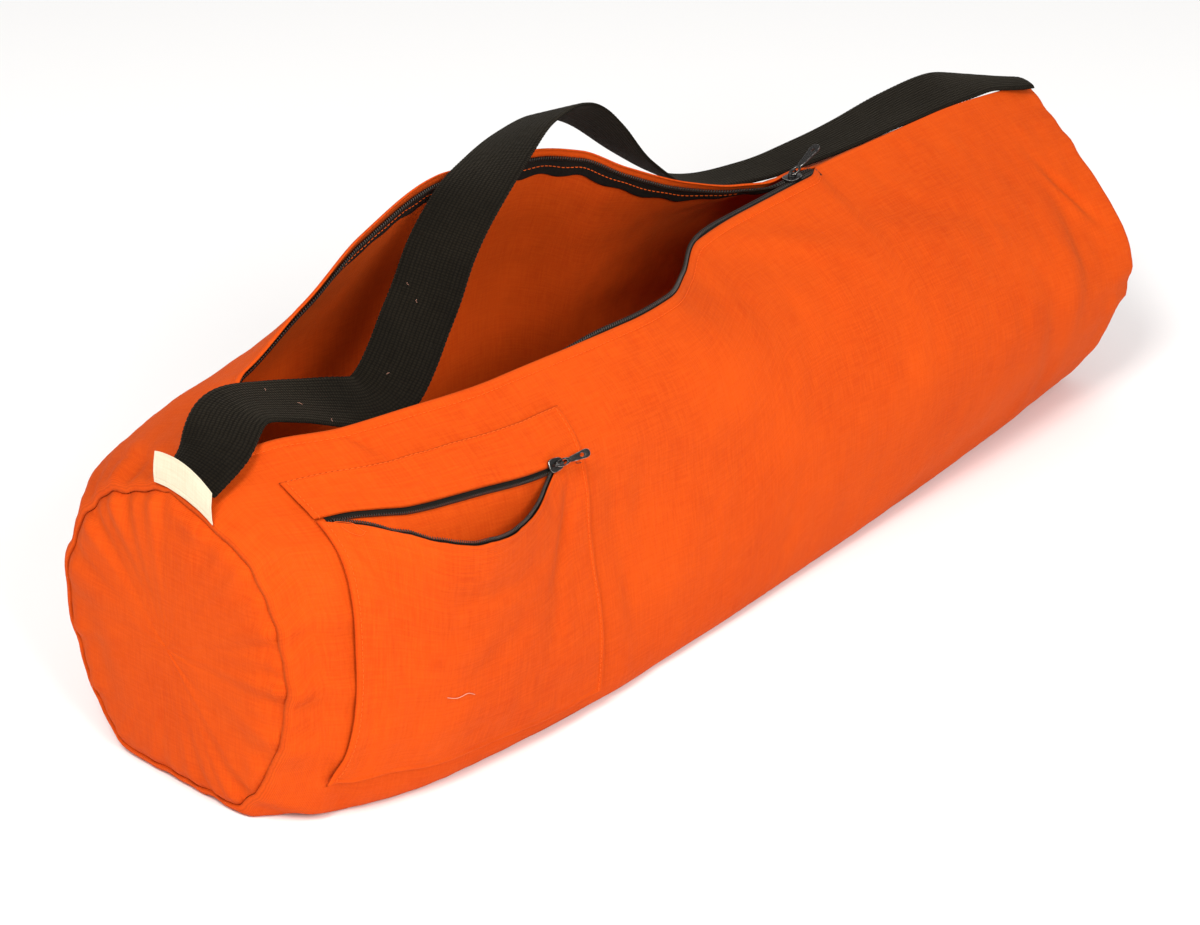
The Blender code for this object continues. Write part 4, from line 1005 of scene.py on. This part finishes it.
def pocketPanelPoints():
    # the front stands out with the gape at its lip and with its own fullness lower down
    first = pocket["stripColumns"] - 1
    under, out, fall = pocketUnder[:, first:], pocketOut[:, first:], pocketFall[:, first:]
    across, down = pocketAcross[:, first:], pocketDown[:, first:] - pocket["strip"]
    t = down / pocket["depth"]
    gape = gapeAt(across)
    full = np.sin(math.pi * np.clip(across, 0, 1)) ** pocket["bulgeAcross"]
    byLip = (1 - t) ** 2
    lowPart = full * (1 - byLip) * (1 - t) ** pocket["bulgeDown"]
    stand = pocket["rest"] + pocket["bulge"] * (gape * byLip + lowPart)
    slide = pocket["sag"] * gape * byLip + pocket["sagAll"] * (1 - smoothstep(0, 0.02, t))
    u, v = across * pocketWidth, down
    rows = [(a * pocketWidth, d * pocket["depth"], turn, long, wide, deep)
            for a, d, turn, long, wide, deep in pocketFolds]
    fromEdge = edgeFall(across, down, pocketWidth, pocket["depth"])
    calm = smoothstep(0.0, 0.012, fromEdge)
    stand = stand - creases(u, v, rows) * calm + 0.0005 * ripple(u, v, 43, size=0.04) * calm
    lift = np.maximum(stand, pocket["rest"]) + hemLift(fromEdge)
    points = under + out * lift[..., None] + fall * slide[..., None]
    points[..., 2] = np.maximum(points[..., 2], pocket["clear"])
    return points, out, fall, across, down


pocketStrip = makePocketStrip()
pocketPanel = pocketPanelPoints()


def makePocketPanel():
    points, _, _, across, down = pocketPanel
    pocketCloth("pocket_front", points, across, down, "pocket_panel")


def makePocketZip():
    # the upper tape hangs below the strip's folded edge, the lower one stands just inside the front's lip
    points, out, fall, across, _ = pocketPanel
    line, lift, way = pocketUnder[:, pocket["stripColumns"] - 1], out[:, 0], fall[:, 0]
    keep = (across[:, 0] > pocketZip["from"]) & (across[:, 0] < pocketZip["to"])
    q = np.linspace(0, 1, pocketZip["columns"])[None, :, None]
    rise = pocketZip["upperRise"]
    stand = lift[:, None] * (pocket["rest"] + pocketZip["thick"] - pocketZip["upperSink"])
    upper = line[:, None] + way[:, None] * (pocketZip["upperTape"] * (q * (1 + rise) - rise)) + stand
    up = unit(points[:, 3] - points[:, 7])
    inner = points[:, 0] - outwardOf(points)[:, 4] * (pocket["cloth"] + pocketZip["lipSink"])
    width = pocketZip["tape"]
    lower = inner[:, None] + up[:, None] * (-width + (width + pocketZip["lipShow"]) * q)
    for tag, sheet in (("upper", upper), ("lower", lower)):
        sheet = sheet[keep]
        uv = uvGrid(across[keep, :1] * pocketWidth, q[..., 0] * width, sheet.shape[:2])
        faces = gridFaces(*sheet.shape[:2])
        if tag == "upper":
            faces = faces[:, ::-1]
        mesh = meshFrom("pocket_tape_" + tag, sheet.reshape(-1, 3), faces, uvs=uv)
        node = "pocket_zip_tape_" + tag
        made = addPiece("pocket_tape_" + tag, mesh, zipTape, nodes=[node])
        wall(made, pocketZip["thick"])
        edge = sheet[:, -1]
        toward = unit(edge - sheet[:, -2])
        upright = np.cross(toward, unit(np.gradient(edge, axis=0)))
        makeCoil("pocket_coil_" + tag, edge + toward * coilBeyond, toward, upright, pocketCoil,
                 "pocket_zip_coil_" + tag)


makePocketPanel()
makePocketZip()
print("pocket made")


# sliders and pulls

joints = {joint["name"]: joint for joint in frame["record"]["behaviour"]["joints"]}
mainSlider = {"length": 0.011, "width": 0.0086, "plate": 0.0013, "reach": 0.0027, "height": 0.0038,
              "bar": 0.0011, "bridgeWidth": 0.0017, "pivotHeight": 0.0013, "pull": 0.024, "pullWidth": 0.0060,
              "pullThick": 0.0014, "angle": 24.0, "under": True}
pocketSlider = {"length": 0.009, "width": 0.0070, "plate": 0.0012, "reach": 0.0027, "height": 0.0038,
                "bar": 0.0010, "bridgeWidth": 0.0016, "pivotHeight": 0.0013, "pull": 0.018,
                "pullWidth": 0.0050, "pullThick": 0.0013, "angle": 14.0, "under": False}
sliderParts = {"edge": 0.00035, "gap": 0.0032, "sunk": 0.0003, "flange": 0.0011, "holeFromEnd": 0.0036,
               "holeLong": 0.0013, "holeWide": 0.0010, "pullEdge": 0.0003, "bridgeWear": 0.55}

# the plate's corners: shares of the slider's length and of half its width
plateOutline = ((-0.52, -0.62), (-0.34, -1.04), (0.12, -1.04), (0.52, -0.74), (0.56, 0),
                (0.52, 0.74), (0.12, 1.04), (-0.34, 1.04), (-0.52, 0.62))


def outlineOf(corners, steps):
    # a closed smooth outline: each corner of the polygon is rounded by a quadratic curve between edge middles
    corners = np.array(corners)
    before = (np.roll(corners, 1, axis=0) + corners) / 2
    after = (corners + np.roll(corners, -1, axis=0)) / 2
    t = np.linspace(0, 1, steps, endpoint=False)[None, :, None]
    curve = (1 - t) ** 2 * before[:, None] + 2 * t * (1 - t) * corners[:, None] + t * t * after[:, None]
    return curve.reshape(-1, 2)


def areaOf(line):
    return 0.5 * np.sum(line[:, 0] * np.roll(line[:, 1], -1) - line[:, 1] * np.roll(line[:, 0], -1))


def slab(outline, low, high, edge, hole=None, steps=4):
    # a plate with rounded edges: the outline shrinks on a quarter circle at top and bottom, a hole widens
    turn = np.linspace(0, math.pi / 2, steps)
    levels = [(edge * (1 - math.sin(a)), low + edge * (1 - math.cos(a))) for a in turn]
    levels += [(edge * (1 - math.sin(a)), high - edge * (1 - math.cos(a))) for a in turn[::-1]]

    def side(line, way):
        step = unit(np.roll(line, -1, axis=0) - np.roll(line, 1, axis=0))
        inward = np.stack([-step[:, 1], step[:, 0]], 1) * np.sign(areaOf(line)) * way
        rings = np.stack([np.column_stack([line + inward * by, np.full(len(line), z)]) for by, z in levels])
        return rings if areaOf(line) > 0 else rings[:, ::-1]

    n = len(outline)
    points = side(outline, 1).reshape(-1, 3)
    faces = [gridFaces(len(levels), n, wrap=True)[:, ::-1]]
    worn = np.concatenate([np.sin(2 * turn), np.sin(2 * turn[::-1])])
    wear = np.repeat(np.maximum(worn, 0.15), n)
    last = (len(levels) - 1) * n
    if hole is None:
        middle = outline.mean(axis=0)
        points = np.concatenate([points, [[*middle, low], [*middle, high]]])
        faces.append(fanFaces(len(points) - 2, 0, n)[:, [1, 0, 2]])
        faces.append(fanFaces(len(points) - 1, last, n))
        return points, faces, np.concatenate([wear, [0, 0]])
    j = np.arange(n)
    k = (j + 1) % n
    inner = len(points)
    points = np.concatenate([points, side(hole, -1).reshape(-1, 3)])
    faces.append(gridFaces(len(levels), n, wrap=True) + inner)
    faces.append(np.stack([last + j, last + k, inner + last + k, inner + last + j], -1))
    faces.append(np.stack([k, j, inner + j, inner + k], -1))
    return points, faces, np.concatenate([wear, wear])


def alignedHole(outline, hole):
    # the hole's points start nearest the outline's first point, so that the face between has no twist
    shift = int(np.argmin(np.linalg.norm(hole - outline[0], axis=1)))
    return np.roll(hole, -shift, axis=0)


def turned(points, origin, x, y, z):
    return origin + points[:, :1] * x + points[:, 1:2] * y + points[:, 2:3] * z


def metalPiece(name, parts, body, nodes):
    points, faces = joinParts([(p, f) for p, f, w in parts])
    mesh = meshFrom(name, points, faces)
    mesh.set_sharp_from_angle(angle=math.radians(50))
    layer = mesh.attributes.new("wear", "FLOAT", "POINT")
    layer.data.foreach_set("value", np.concatenate([w for p, f, w in parts]).astype(np.float32))
    return addPiece(name, mesh, enamel, body=body, nodes=nodes)


def bodyParts(look):
    # plates, post and side flanges, and an arched bridge over them, all about the pull's pivot
    half, long, plate = look["width"] / 2, look["length"], look["plate"]
    top, gap, sunk = -look["pivotHeight"], sliderParts["gap"], sliderParts["sunk"]
    outline = outlineOf([(x * long, y * half) for x, y in plateOutline], 6)
    parts = [slab(outline, top - plate, top, sliderParts["edge"])]
    if look["under"]:
        parts.append(slab(outline, top - 2 * plate - gap, top - plate - gap, sliderParts["edge"]))
        start, stop, aside = -0.46 * long, -0.1 * long, 0.0005
        post = [(start, -aside), (stop, -aside), (stop, aside), (start, aside)]
        parts.append(slab(outlineOf(post, 4), top - plate - gap - sunk, top - plate + sunk, 0.0001))
        for side in (-1, 1):
            flange = [(-0.05 * long, side * (half - 0.0011)), (0.46 * long, side * (0.72 * half - 0.0008)),
                      (0.46 * long, side * 0.78 * half), (-0.05 * long, side * half * 1.02)]
            low = top - plate - sliderParts["flange"]
            parts.append(slab(outlineOf(flange, 5), low, top - plate + sunk, 0.0002))
    reach = look["reach"] + 0.0004
    t = np.linspace(0, math.pi, 17)
    rise = (look["height"] + sunk) * np.sin(t) ** 0.62
    arch = np.stack([-reach * np.cos(t), np.zeros_like(t), top - sunk + rise], 1)
    bar = (look["bridgeWidth"] / 2, look["bar"] / 2)
    points, faces = sweptTube(arch, bar, 12, np.array([1e-4, 0, 1.0]))
    parts.append((points, faces, np.full(len(points), sliderParts["bridgeWear"])))
    return parts


def pullParts(look):
    # the pull's head goes round the bridge's bar; the tab has a hole at its end
    half, long, thick = look["pullWidth"] / 2, look["pull"], look["pullThick"] / 2
    slot, slotHalf = look["height"] + 0.0016, look["bridgeWidth"] / 2 + 0.0005

    def oblong(start, end, wide):
        return outlineOf([(start, -wide), (end, -wide), (end, wide), (start, wide)], 10)

    head = oblong(-0.0010, slot + 0.0018, 0.8 * half)
    headHole = alignedHole(head, oblong(0.0006, slot, slotHalf))
    side = [(slot + 0.0002, 0.50 * half), (0.62 * long, 0.74 * half), (long + 0.0012, 1.12 * half)]
    tab = outlineOf([(x, -y) for x, y in side] + side[::-1], 8)
    turn = np.linspace(0, 2 * math.pi, len(tab), endpoint=False)
    holeX = long - sliderParts["holeFromEnd"] + sliderParts["holeLong"] * np.cos(turn)
    hole = np.stack([holeX, sliderParts["holeWide"] * np.sin(turn)], 1)
    return [slab(head, -thick, thick, sliderParts["pullEdge"], headHole),
            slab(tab, -thick * 0.9, thick * 0.9, sliderParts["pullEdge"], alignedHole(tab, hole))]


def makeSlider(name, look, joint, forward, bodyName, cadNodes):
    # both pieces are placed from the joint's pivot and axis, the pull at its resting angle
    pivot = np.array(joint["pos_m"])
    y = unit(-np.array(joint["axis"], float))
    x = unit(forward - y * np.dot(forward, y))
    z = np.cross(x, y)
    placed = [(turned(p, pivot, x, y, z), f, w) for p, f, w in bodyParts(look)]
    metalPiece(name + "_slider_body", placed, "bag", [cadNodes[0]])
    a = math.radians(look["angle"])
    pullX, pullZ = x * math.cos(a) + z * math.sin(a), z * math.cos(a) - x * math.sin(a)
    placed = [(turned(p, pivot, pullX, y, pullZ), f, w) for p, f, w in pullParts(look)]
    metalPiece(name + "_pull_tab", placed, bodyName, [cadNodes[1]])


ridgeSlope = (sideAt("ridge", np.array([0.131])) - sideAt("ridge", np.array([0.116])))[0] / 0.015
makeSlider("main", mainSlider, joints["main_pull_hinge"], np.array([1.0, 0.0, ridgeSlope]), "main_pull",
           ("main_slider", "main_pull"))
pocketLine = pocketUnder[:, pocket["stripColumns"] - 1]
sliderRow = int(pocket["sliderShare"] * (pocket["rows"] - 1))
alongPocket = pocketLine[sliderRow + 4] - pocketLine[sliderRow - 4]
makeSlider("pocket", pocketSlider, joints["pocket_pull_hinge"], alongPocket, "pocket_pull",
           ("pocket_slider", "pocket_pull"))
print("sliders made")


# the strap

# each row: share along the bag, place across and height in radii, lean in degrees with the near edge up
strapRows = (
    (-0.497, -0.11, 2.020, -3.0),
    (-0.468, -0.10, 2.130, -8.0),
    (-0.430, 0.04, 2.205, -12.0),
    (-0.385, 0.06, 2.110, -16.0),
    (-0.340, 0.03, 1.985, -22.0),
    (-0.305, -0.04, 1.930, -24.0),
    (-0.268, 0.03, 2.080, -22.0),
    (-0.230, 0.16, 2.270, -20.0),
    (-0.197, 0.25, 2.495, -16.0),
    (-0.158, 0.335, 2.700, -9.0),
    (-0.106, 0.48, 2.798, 6.0),
    (-0.040, 0.69, 2.812, 20.0),
    (0.012, 0.80, 2.750, 22.0),
    (0.056, 0.85, 2.545, 14.0),
    (0.098, 0.82, 2.225, 8.0),
    (0.142, 0.70, 1.985, 8.0),
    (0.190, 0.49, 1.995, 6.0),
    (0.243, 0.34, 2.060, 4.0),
    (0.300, 0.27, 2.114, 0.5),
    (0.360, 0.24, 2.149, -7.0),
    (0.412, 0.215, 2.167, -9.5),
    (0.455, 0.19, 2.135, 2.0),
    (0.496, 0.10, 2.072, 15.0),
)
strap = {"length": 0.778, "width": 0.038, "thick": 0.0024, "step": 0.00055, "scallop": 0.0030,
         "scallopDepth": 0.00045, "rib": 0.00013, "ribPitch": 0.00213, "across": 27, "smoothing": 41,
         "waver": 0.0003, "endDroop": 0.0050, "droopReach": 0.035}


def strapFrames(count):
    # the middle line smoothed, with its way forward, the band's width and its face at each point
    rows = np.array(strapRows)
    marks = rows[:, :3] * (bag["length"], bag["radius"], bag["radius"])
    line = curveThrough(marks, tube["curveSteps"])
    lengths = lengthsOf(line)
    s = np.linspace(0, lengths[-1], count)
    kernel = np.hanning(strap["smoothing"])
    reach = strap["smoothing"] // 2
    padded = np.pad(readAlong(line, lengths, s), ((reach, reach), (0, 0)), mode="reflect", reflect_type="odd")
    middle = np.stack([np.convolve(padded[:, k], kernel / kernel.sum(), "valid") for k in range(3)], 1)
    forward = unit(np.gradient(middle, axis=0))
    lean = np.radians(smoothAt(lengths[::tube["curveSteps"]], rows[:, 3], s))[:, None]
    level = unit(np.stack([forward[:, 1], -forward[:, 0], np.zeros(len(s))], 1))
    width = np.cos(lean) * level + np.sin(lean) * np.cross(level, forward)
    return s, middle, forward, width, np.cross(width, forward)


def makeStrap():
    # a flat band: its profile has ribs down its length and soft edges, which bulge at every turn of the weft
    count = int(strap["length"] / strap["step"])
    s, middle, _, width, face = strapFrames(count)
    half = strap["width"] / 2
    v = np.linspace(-1, 1, strap["across"])
    flatPart = half * (1 - np.abs(v) ** 18 * 0.012) * v
    thin = strap["thick"] / 2 * np.sqrt(np.clip(1 - np.abs(v) ** 14, 0, 1))
    offsets = np.concatenate([flatPart, flatPart[-2:0:-1]])
    heights = np.concatenate([thin, -thin[-2:0:-1]])
    ribs = strap["rib"] * np.abs(np.sin(math.pi * offsets / strap["ribPitch"]))
    heights = heights + np.sign(heights) * (ribs - strap["rib"])
    edge = np.clip((np.abs(offsets) / half - 0.86) / 0.14, 0, 1) ** 2
    beat = np.abs(np.sin(math.pi * s / strap["scallop"])) ** 0.7
    waver = strap["waver"] * np.sin(s / 0.011 + 1.2 * np.sin(s / 0.031))
    bulge = np.sign(offsets)[None] * edge[None] * strap["scallopDepth"] * (beat[:, None] - 0.6)
    spread = offsets[None] + bulge + waver[:, None]
    fromEnd = np.minimum(s, s[-1] - s)[:, None]
    droop = strap["endDroop"] * np.exp(-(fromEnd / strap["droopReach"]) ** 2) * (offsets / half) ** 2
    raised = heights[None] - droop
    points = middle[:, None] + width[:, None] * spread[..., None] + face[:, None] * raised[..., None]
    n = len(offsets)
    # the under face has a place of its own in the uv map, past the upper one
    uv = uvGrid(s[:, None], np.where(heights >= 0, offsets, offsets + 0.05)[None], (count, n))
    uv = np.concatenate([uv, [[0, 0], [s[-1], 0]]])
    points = np.concatenate([points.reshape(-1, 3), middle[:1], middle[-1:]])
    faces = [gridFaces(count, n, wrap=True)[:, ::-1], fanFaces(len(points) - 2, 0, n),
             fanFaces(len(points) - 1, (count - 1) * n, n)[:, [1, 0, 2]]]
    addPiece("strap_webbing", meshFrom("strap_webbing", points, faces, uvs=uv), webbing,
             nodes=["shoulder_strap"])


makeStrap()
print("strap made")


# the label

label = {"length": 0.042, "height": 0.0165, "thick": 0.0008, "side": -0.0115, "front": 0.0006, "lean": 0.002,
         "rows": 150, "columns": 60, "border": 0.0016, "groove": 0.00018, "grooveWide": 0.0004,
         "curl": 0.0010, "flare": 0.0006, "sag": 0.0007, "grain": 0.00025, "flat": (0.042, 0.0175)}


def makeLabel():
    # a folded tab that stands up out of the near end's seam, its foot on a smooth curve through the seam
    shape = (label["rows"], label["columns"])
    across = label["side"] + label["length"] * np.linspace(0.5, -0.5, label["rows"])
    end = np.array([-bag["length"] / 2 + 0.0035, -bag["length"] / 2 + 0.004])
    total = lengthsOf(sectionLines(end))[0, -1]
    at = np.concatenate([np.linspace(0, 0.07, 60), total - np.linspace(0.07, 0, 60)])
    top = fullTube(end, np.broadcast_to(at, (2, len(at))))[0][0]
    order = np.argsort(top[:, 1])
    seam = np.polyval(np.polyfit(across, np.interp(across, top[order, 1], top[order, 2]), 2), across)
    t = np.linspace(-0.06, 1, label["columns"])[None, :]
    above = np.clip(t, 0, 1)
    bend = np.linspace(-1, 1, label["rows"])[:, None]
    face = np.empty(shape + (3,))
    front = -bag["length"] / 2 - label["front"]
    face[..., 0] = front + label["lean"] * t**2 - label["curl"] * bend**2 * above
    face[..., 1] = across[:, None] + label["flare"] * above * bend
    face[..., 2] = seam[:, None] + label["height"] * t - label["sag"] * bend**2 * above
    face[..., 0] -= label["thick"] / 2 + label["grain"] * ripple(face[..., 1], face[..., 2], 77, size=0.012)
    share = np.linspace(0, 1, label["rows"])[:, None]
    fromEdge = edgeFall(share, t * label["height"], label["length"], label["height"])
    face[..., 0] += label["groove"] * np.exp(-((fromEdge - label["border"]) / label["grooveWide"]) ** 2)
    uv = uvGrid(across[:, None], label["height"] * t, shape)
    mesh = meshFrom("label_tab", face.reshape(-1, 3), gridFaces(*shape), uvs=uv)
    made = addPiece("label_tab", mesh, cotton, nodes=["seam_label"])
    wall(made, label["thick"], offset=0.0)


makeLabel()
print("label made")


# thread: topstitching and loose ends

stitch = {"pitch": 0.0030, "length": 0.0022, "thick": 0.00024, "sides": 5, "above": 0.00005, "arch": 0.00012,
          "dip": 0.0003, "tubeColumn": 6, "tapeColumn": 6, "fromStripEdge": 0.0014}


def stitchRow(path, normals, lift=0.0):
    # short capsules laid end to end along a line, each dipping into the cloth at both ends
    path = path + normals * lift
    pitch = stitch["pitch"]
    lengths = lengthsOf(path)
    s = np.arange(0.5 * pitch, lengths[-1], pitch)
    x = unit(readAlong(path, lengths, s + 0.3 * pitch) - readAlong(path, lengths, s - 0.3 * pitch))
    y = unit(np.cross(readAlong(normals, lengths, s), x))
    t = np.linspace(-1, 1, 5)
    lifted = stitch["above"] + stitch["arch"] * (1 - t * t) - stitch["dip"] * np.abs(t) ** 4
    core = np.stack([t * stitch["length"] / 2, t * 0, lifted], 1)
    points, faces = sweptTube(core, stitch["thick"], stitch["sides"], np.array([0.0, 1e-4, 1.0]))
    return copiesOf(points, faces, readAlong(path, lengths, s), x, y, np.cross(x, y))


def stitchPiece(name, rows, material=orangeThread):
    points, faces = joinParts(rows)
    return addPiece(name, meshFrom(name, points, faces), material)


def makeStitches():
    along = np.linspace(bag["mouthStart"] + 0.006, bag["mouthEnd"] - 0.002, 500)
    grid = fullTube(along)[0]
    out = outwardOf(grid)
    stitchPiece("mouth_topstitch", [stitchRow(grid[:, column], out[:, column], 0.0001)
                                    for column in (stitch["tubeColumn"], -1 - stitch["tubeColumn"])])
    # the seam that holds the far tape shows as an orange line down its inner face
    sheet, inward, _, _ = zipSide(False)
    shown = slice(6, -30)
    stitchPiece("tape_stitch", [stitchRow(sheet[shown, stitch["tapeColumn"]], inward[shown],
                                          mainZip["thick"] + 0.00005)])
    side = round(pocket["hemWidth"] / pocketWidth * (pocket["rows"] - 1))
    top = round(stitch["fromStripEdge"] / pocket["strip"] * (pocket["stripColumns"] - 1))
    below, inner = slice(top, None), slice(2, -2)
    stripLines = ((slice(side, -side), top), (side, below), (-1 - side, below))
    rows = []
    for points, lines in ((pocketStrip, stripLines), (pocketPanel[0], ((side, inner), (-1 - side, inner)))):
        normal = outwardOf(points)
        rows += [stitchRow(points[line], normal[line], 0.00005) for line in lines]
    stitchPiece("pocket_topstitch", rows)


makeStitches()
print("stitches made")


# loose ends: threads at the pocket's zip, its black tacks, a stray thread on the pocket and lint on the strap

# each row: share across the front, distance down it, then steps across and down to three more points
frontThreads = (
    ("orange", 0.030, 0.0020, (0.0030, -0.0020), (0.0075, -0.0005), (0.0105, 0.0030)),
    ("orange", 0.045, 0.0030, (0.0020, 0.0030), (0.0060, 0.0040), (0.0085, 0.0015)),
    ("orange", 0.955, 0.0020, (-0.0020, -0.0030), (0.0010, -0.0055), (0.0045, -0.0040)),
    ("black", 0.957, 0.0012, (0.0016, 0.0003), (0.0032, 0.0004), (0.0050, 0.0002)),
    ("black", 0.960, 0.0034, (0.0012, 0.0006), (0.0026, 0.0008), (0.0040, 0.0009)),
    ("pale", 0.300, 0.0930, (0.0060, 0.0015), (0.0120, 0.0005), (0.0170, 0.0030)),
)
looseThread = {"thick": 0.00018, "lift": 0.0004, "lowest": 0.3, "steps": 10, "sides": 6}
lint = {"count": 9, "from": 25, "to": 120, "aside": 0.8, "lengths": (0.0006, 0.0017), "thick": 0.00007,
        "lift": 0.00015}


def makeFrontThreads():
    # each thread's places on the front are read off its grid of points, between the four nearest
    points, _, _, across, _ = pocketPanel
    normal = outwardOf(points)
    rows, columns = across.shape
    kinds = {"orange": [], "black": [], "pale": []}
    for kind, share, deep, *steps in frontThreads:
        spots = np.array([(0.0, 0.0), *steps]) + np.array([share * pocketWidth, deep])
        route = curveThrough(spots, looseThread["steps"])
        row = np.clip(route[:, 0] / pocketWidth * (rows - 1), 0, rows - 1.001)
        column = np.clip(route[:, 1] / pocket["depth"] * (columns - 1), 0, columns - 1.001)
        i, j = row.astype(int), column.astype(int)
        a, b = (row - i)[:, None], (column - j)[:, None]

        def read(grid):
            return (grid[i, j] * (1 - a) * (1 - b) + grid[i + 1, j] * a * (1 - b)
                    + grid[i, j + 1] * (1 - a) * b + grid[i + 1, j + 1] * a * b)

        arch = np.sin(np.linspace(0.15, math.pi - 0.15, len(route)))[:, None]
        path = read(points) + read(normal) * (looseThread["lift"] * (looseThread["lowest"] + arch))
        kinds[kind].append(sweptTube(path, looseThread["thick"], looseThread["sides"], read(normal)[0]))
    stitchPiece("loose_orange_threads", kinds["orange"])
    stitchPiece("zip_tacks", kinds["black"], blackThread)
    stitchPiece("stray_pale_thread", kinds["pale"], paleThread)


def makeLint():
    # short curled fibres lying on the strap where it leaves the near end
    rng = np.random.default_rng(8)
    _, middle, forward, width, face = strapFrames(400)
    parts = []
    for _ in range(lint["count"]):
        i = int(rng.uniform(lint["from"], lint["to"]))
        aside = rng.uniform(-lint["aside"], lint["aside"]) * strap["width"] / 2
        turn = rng.uniform(0, 2 * math.pi)
        t = np.linspace(-1, 1, 7)[:, None]
        long = rng.uniform(*lint["lengths"])
        way = forward[i] * math.cos(turn) + width[i] * math.sin(turn)
        bend = np.cross(face[i], way)
        base = middle[i] + width[i] * aside + face[i] * (strap["thick"] / 2 + lint["lift"])
        parts.append(sweptTube(base + way * long * t + bend * long * 0.5 * t**2, lint["thick"], 5, face[i]))
    stitchPiece("strap_lint", parts, paleThread)


makeFrontThreads()
makeLint()
print("loose threads made")


# floor and light

studio = {"floor": (0.92, 0.92, 0.92), "floorSize": 12.0, "floorDrop": 0.0002, "world": 0.68}
# each light: place, target, width and depth, watts, colour
lights = {"key": ((-1.6, -0.7, 2.0), (0, 0, 0.1), (0.7, 0.7), 44.0, (1.0, 0.97, 0.93)),
          "front": ((-0.8, -1.8, 1.3), (0, 0, 0.15), (0.8, 0.6), 32.0, (1.0, 0.98, 0.96))}


def makeFloor():
    made, _, shader = newMaterial("paleFloor")
    shader.inputs["Base Color"].default_value = (*studio["floor"], 1.0)
    shader.inputs["Roughness"].default_value = 0.9
    half = studio["floorSize"] / 2
    points = np.array([(-half, -half, 0), (half, -half, 0), (half, half, 0), (-half, half, 0)], float)
    floor = bpy.data.objects.new("floor", meshFrom("floor", points, np.array([[0, 1, 2, 3]]), smooth=False))
    floor.data.materials.append(made)
    floor.location.z = -studio["floorDrop"]
    bpy.context.scene.collection.objects.link(floor)


def makeLight(name, place, target, size, power, color):
    data = bpy.data.lights.new(name, "AREA")
    data.shape = "RECTANGLE"
    data.size, data.size_y = size
    data.energy = power
    data.color = color
    made = bpy.data.objects.new(name, data)
    made.location = place
    made.rotation_euler = (Vector(target) - Vector(place)).to_track_quat("-Z", "Y").to_euler()
    bpy.context.scene.collection.objects.link(made)


def makeStudio():
    makeFloor()
    world = bpy.data.worlds.new("studio")
    world.use_nodes = True
    sky = world.node_tree.nodes["Background"]
    sky.inputs["Color"].default_value = (1.0, 1.0, 1.0, 1.0)
    sky.inputs["Strength"].default_value = studio["world"]
    bpy.context.scene.world = world
    for name, values in lights.items():
        makeLight(name, *values)


makeStudio()
bpy.context.scene.view_settings.view_transform = "Standard"
print("studio made")
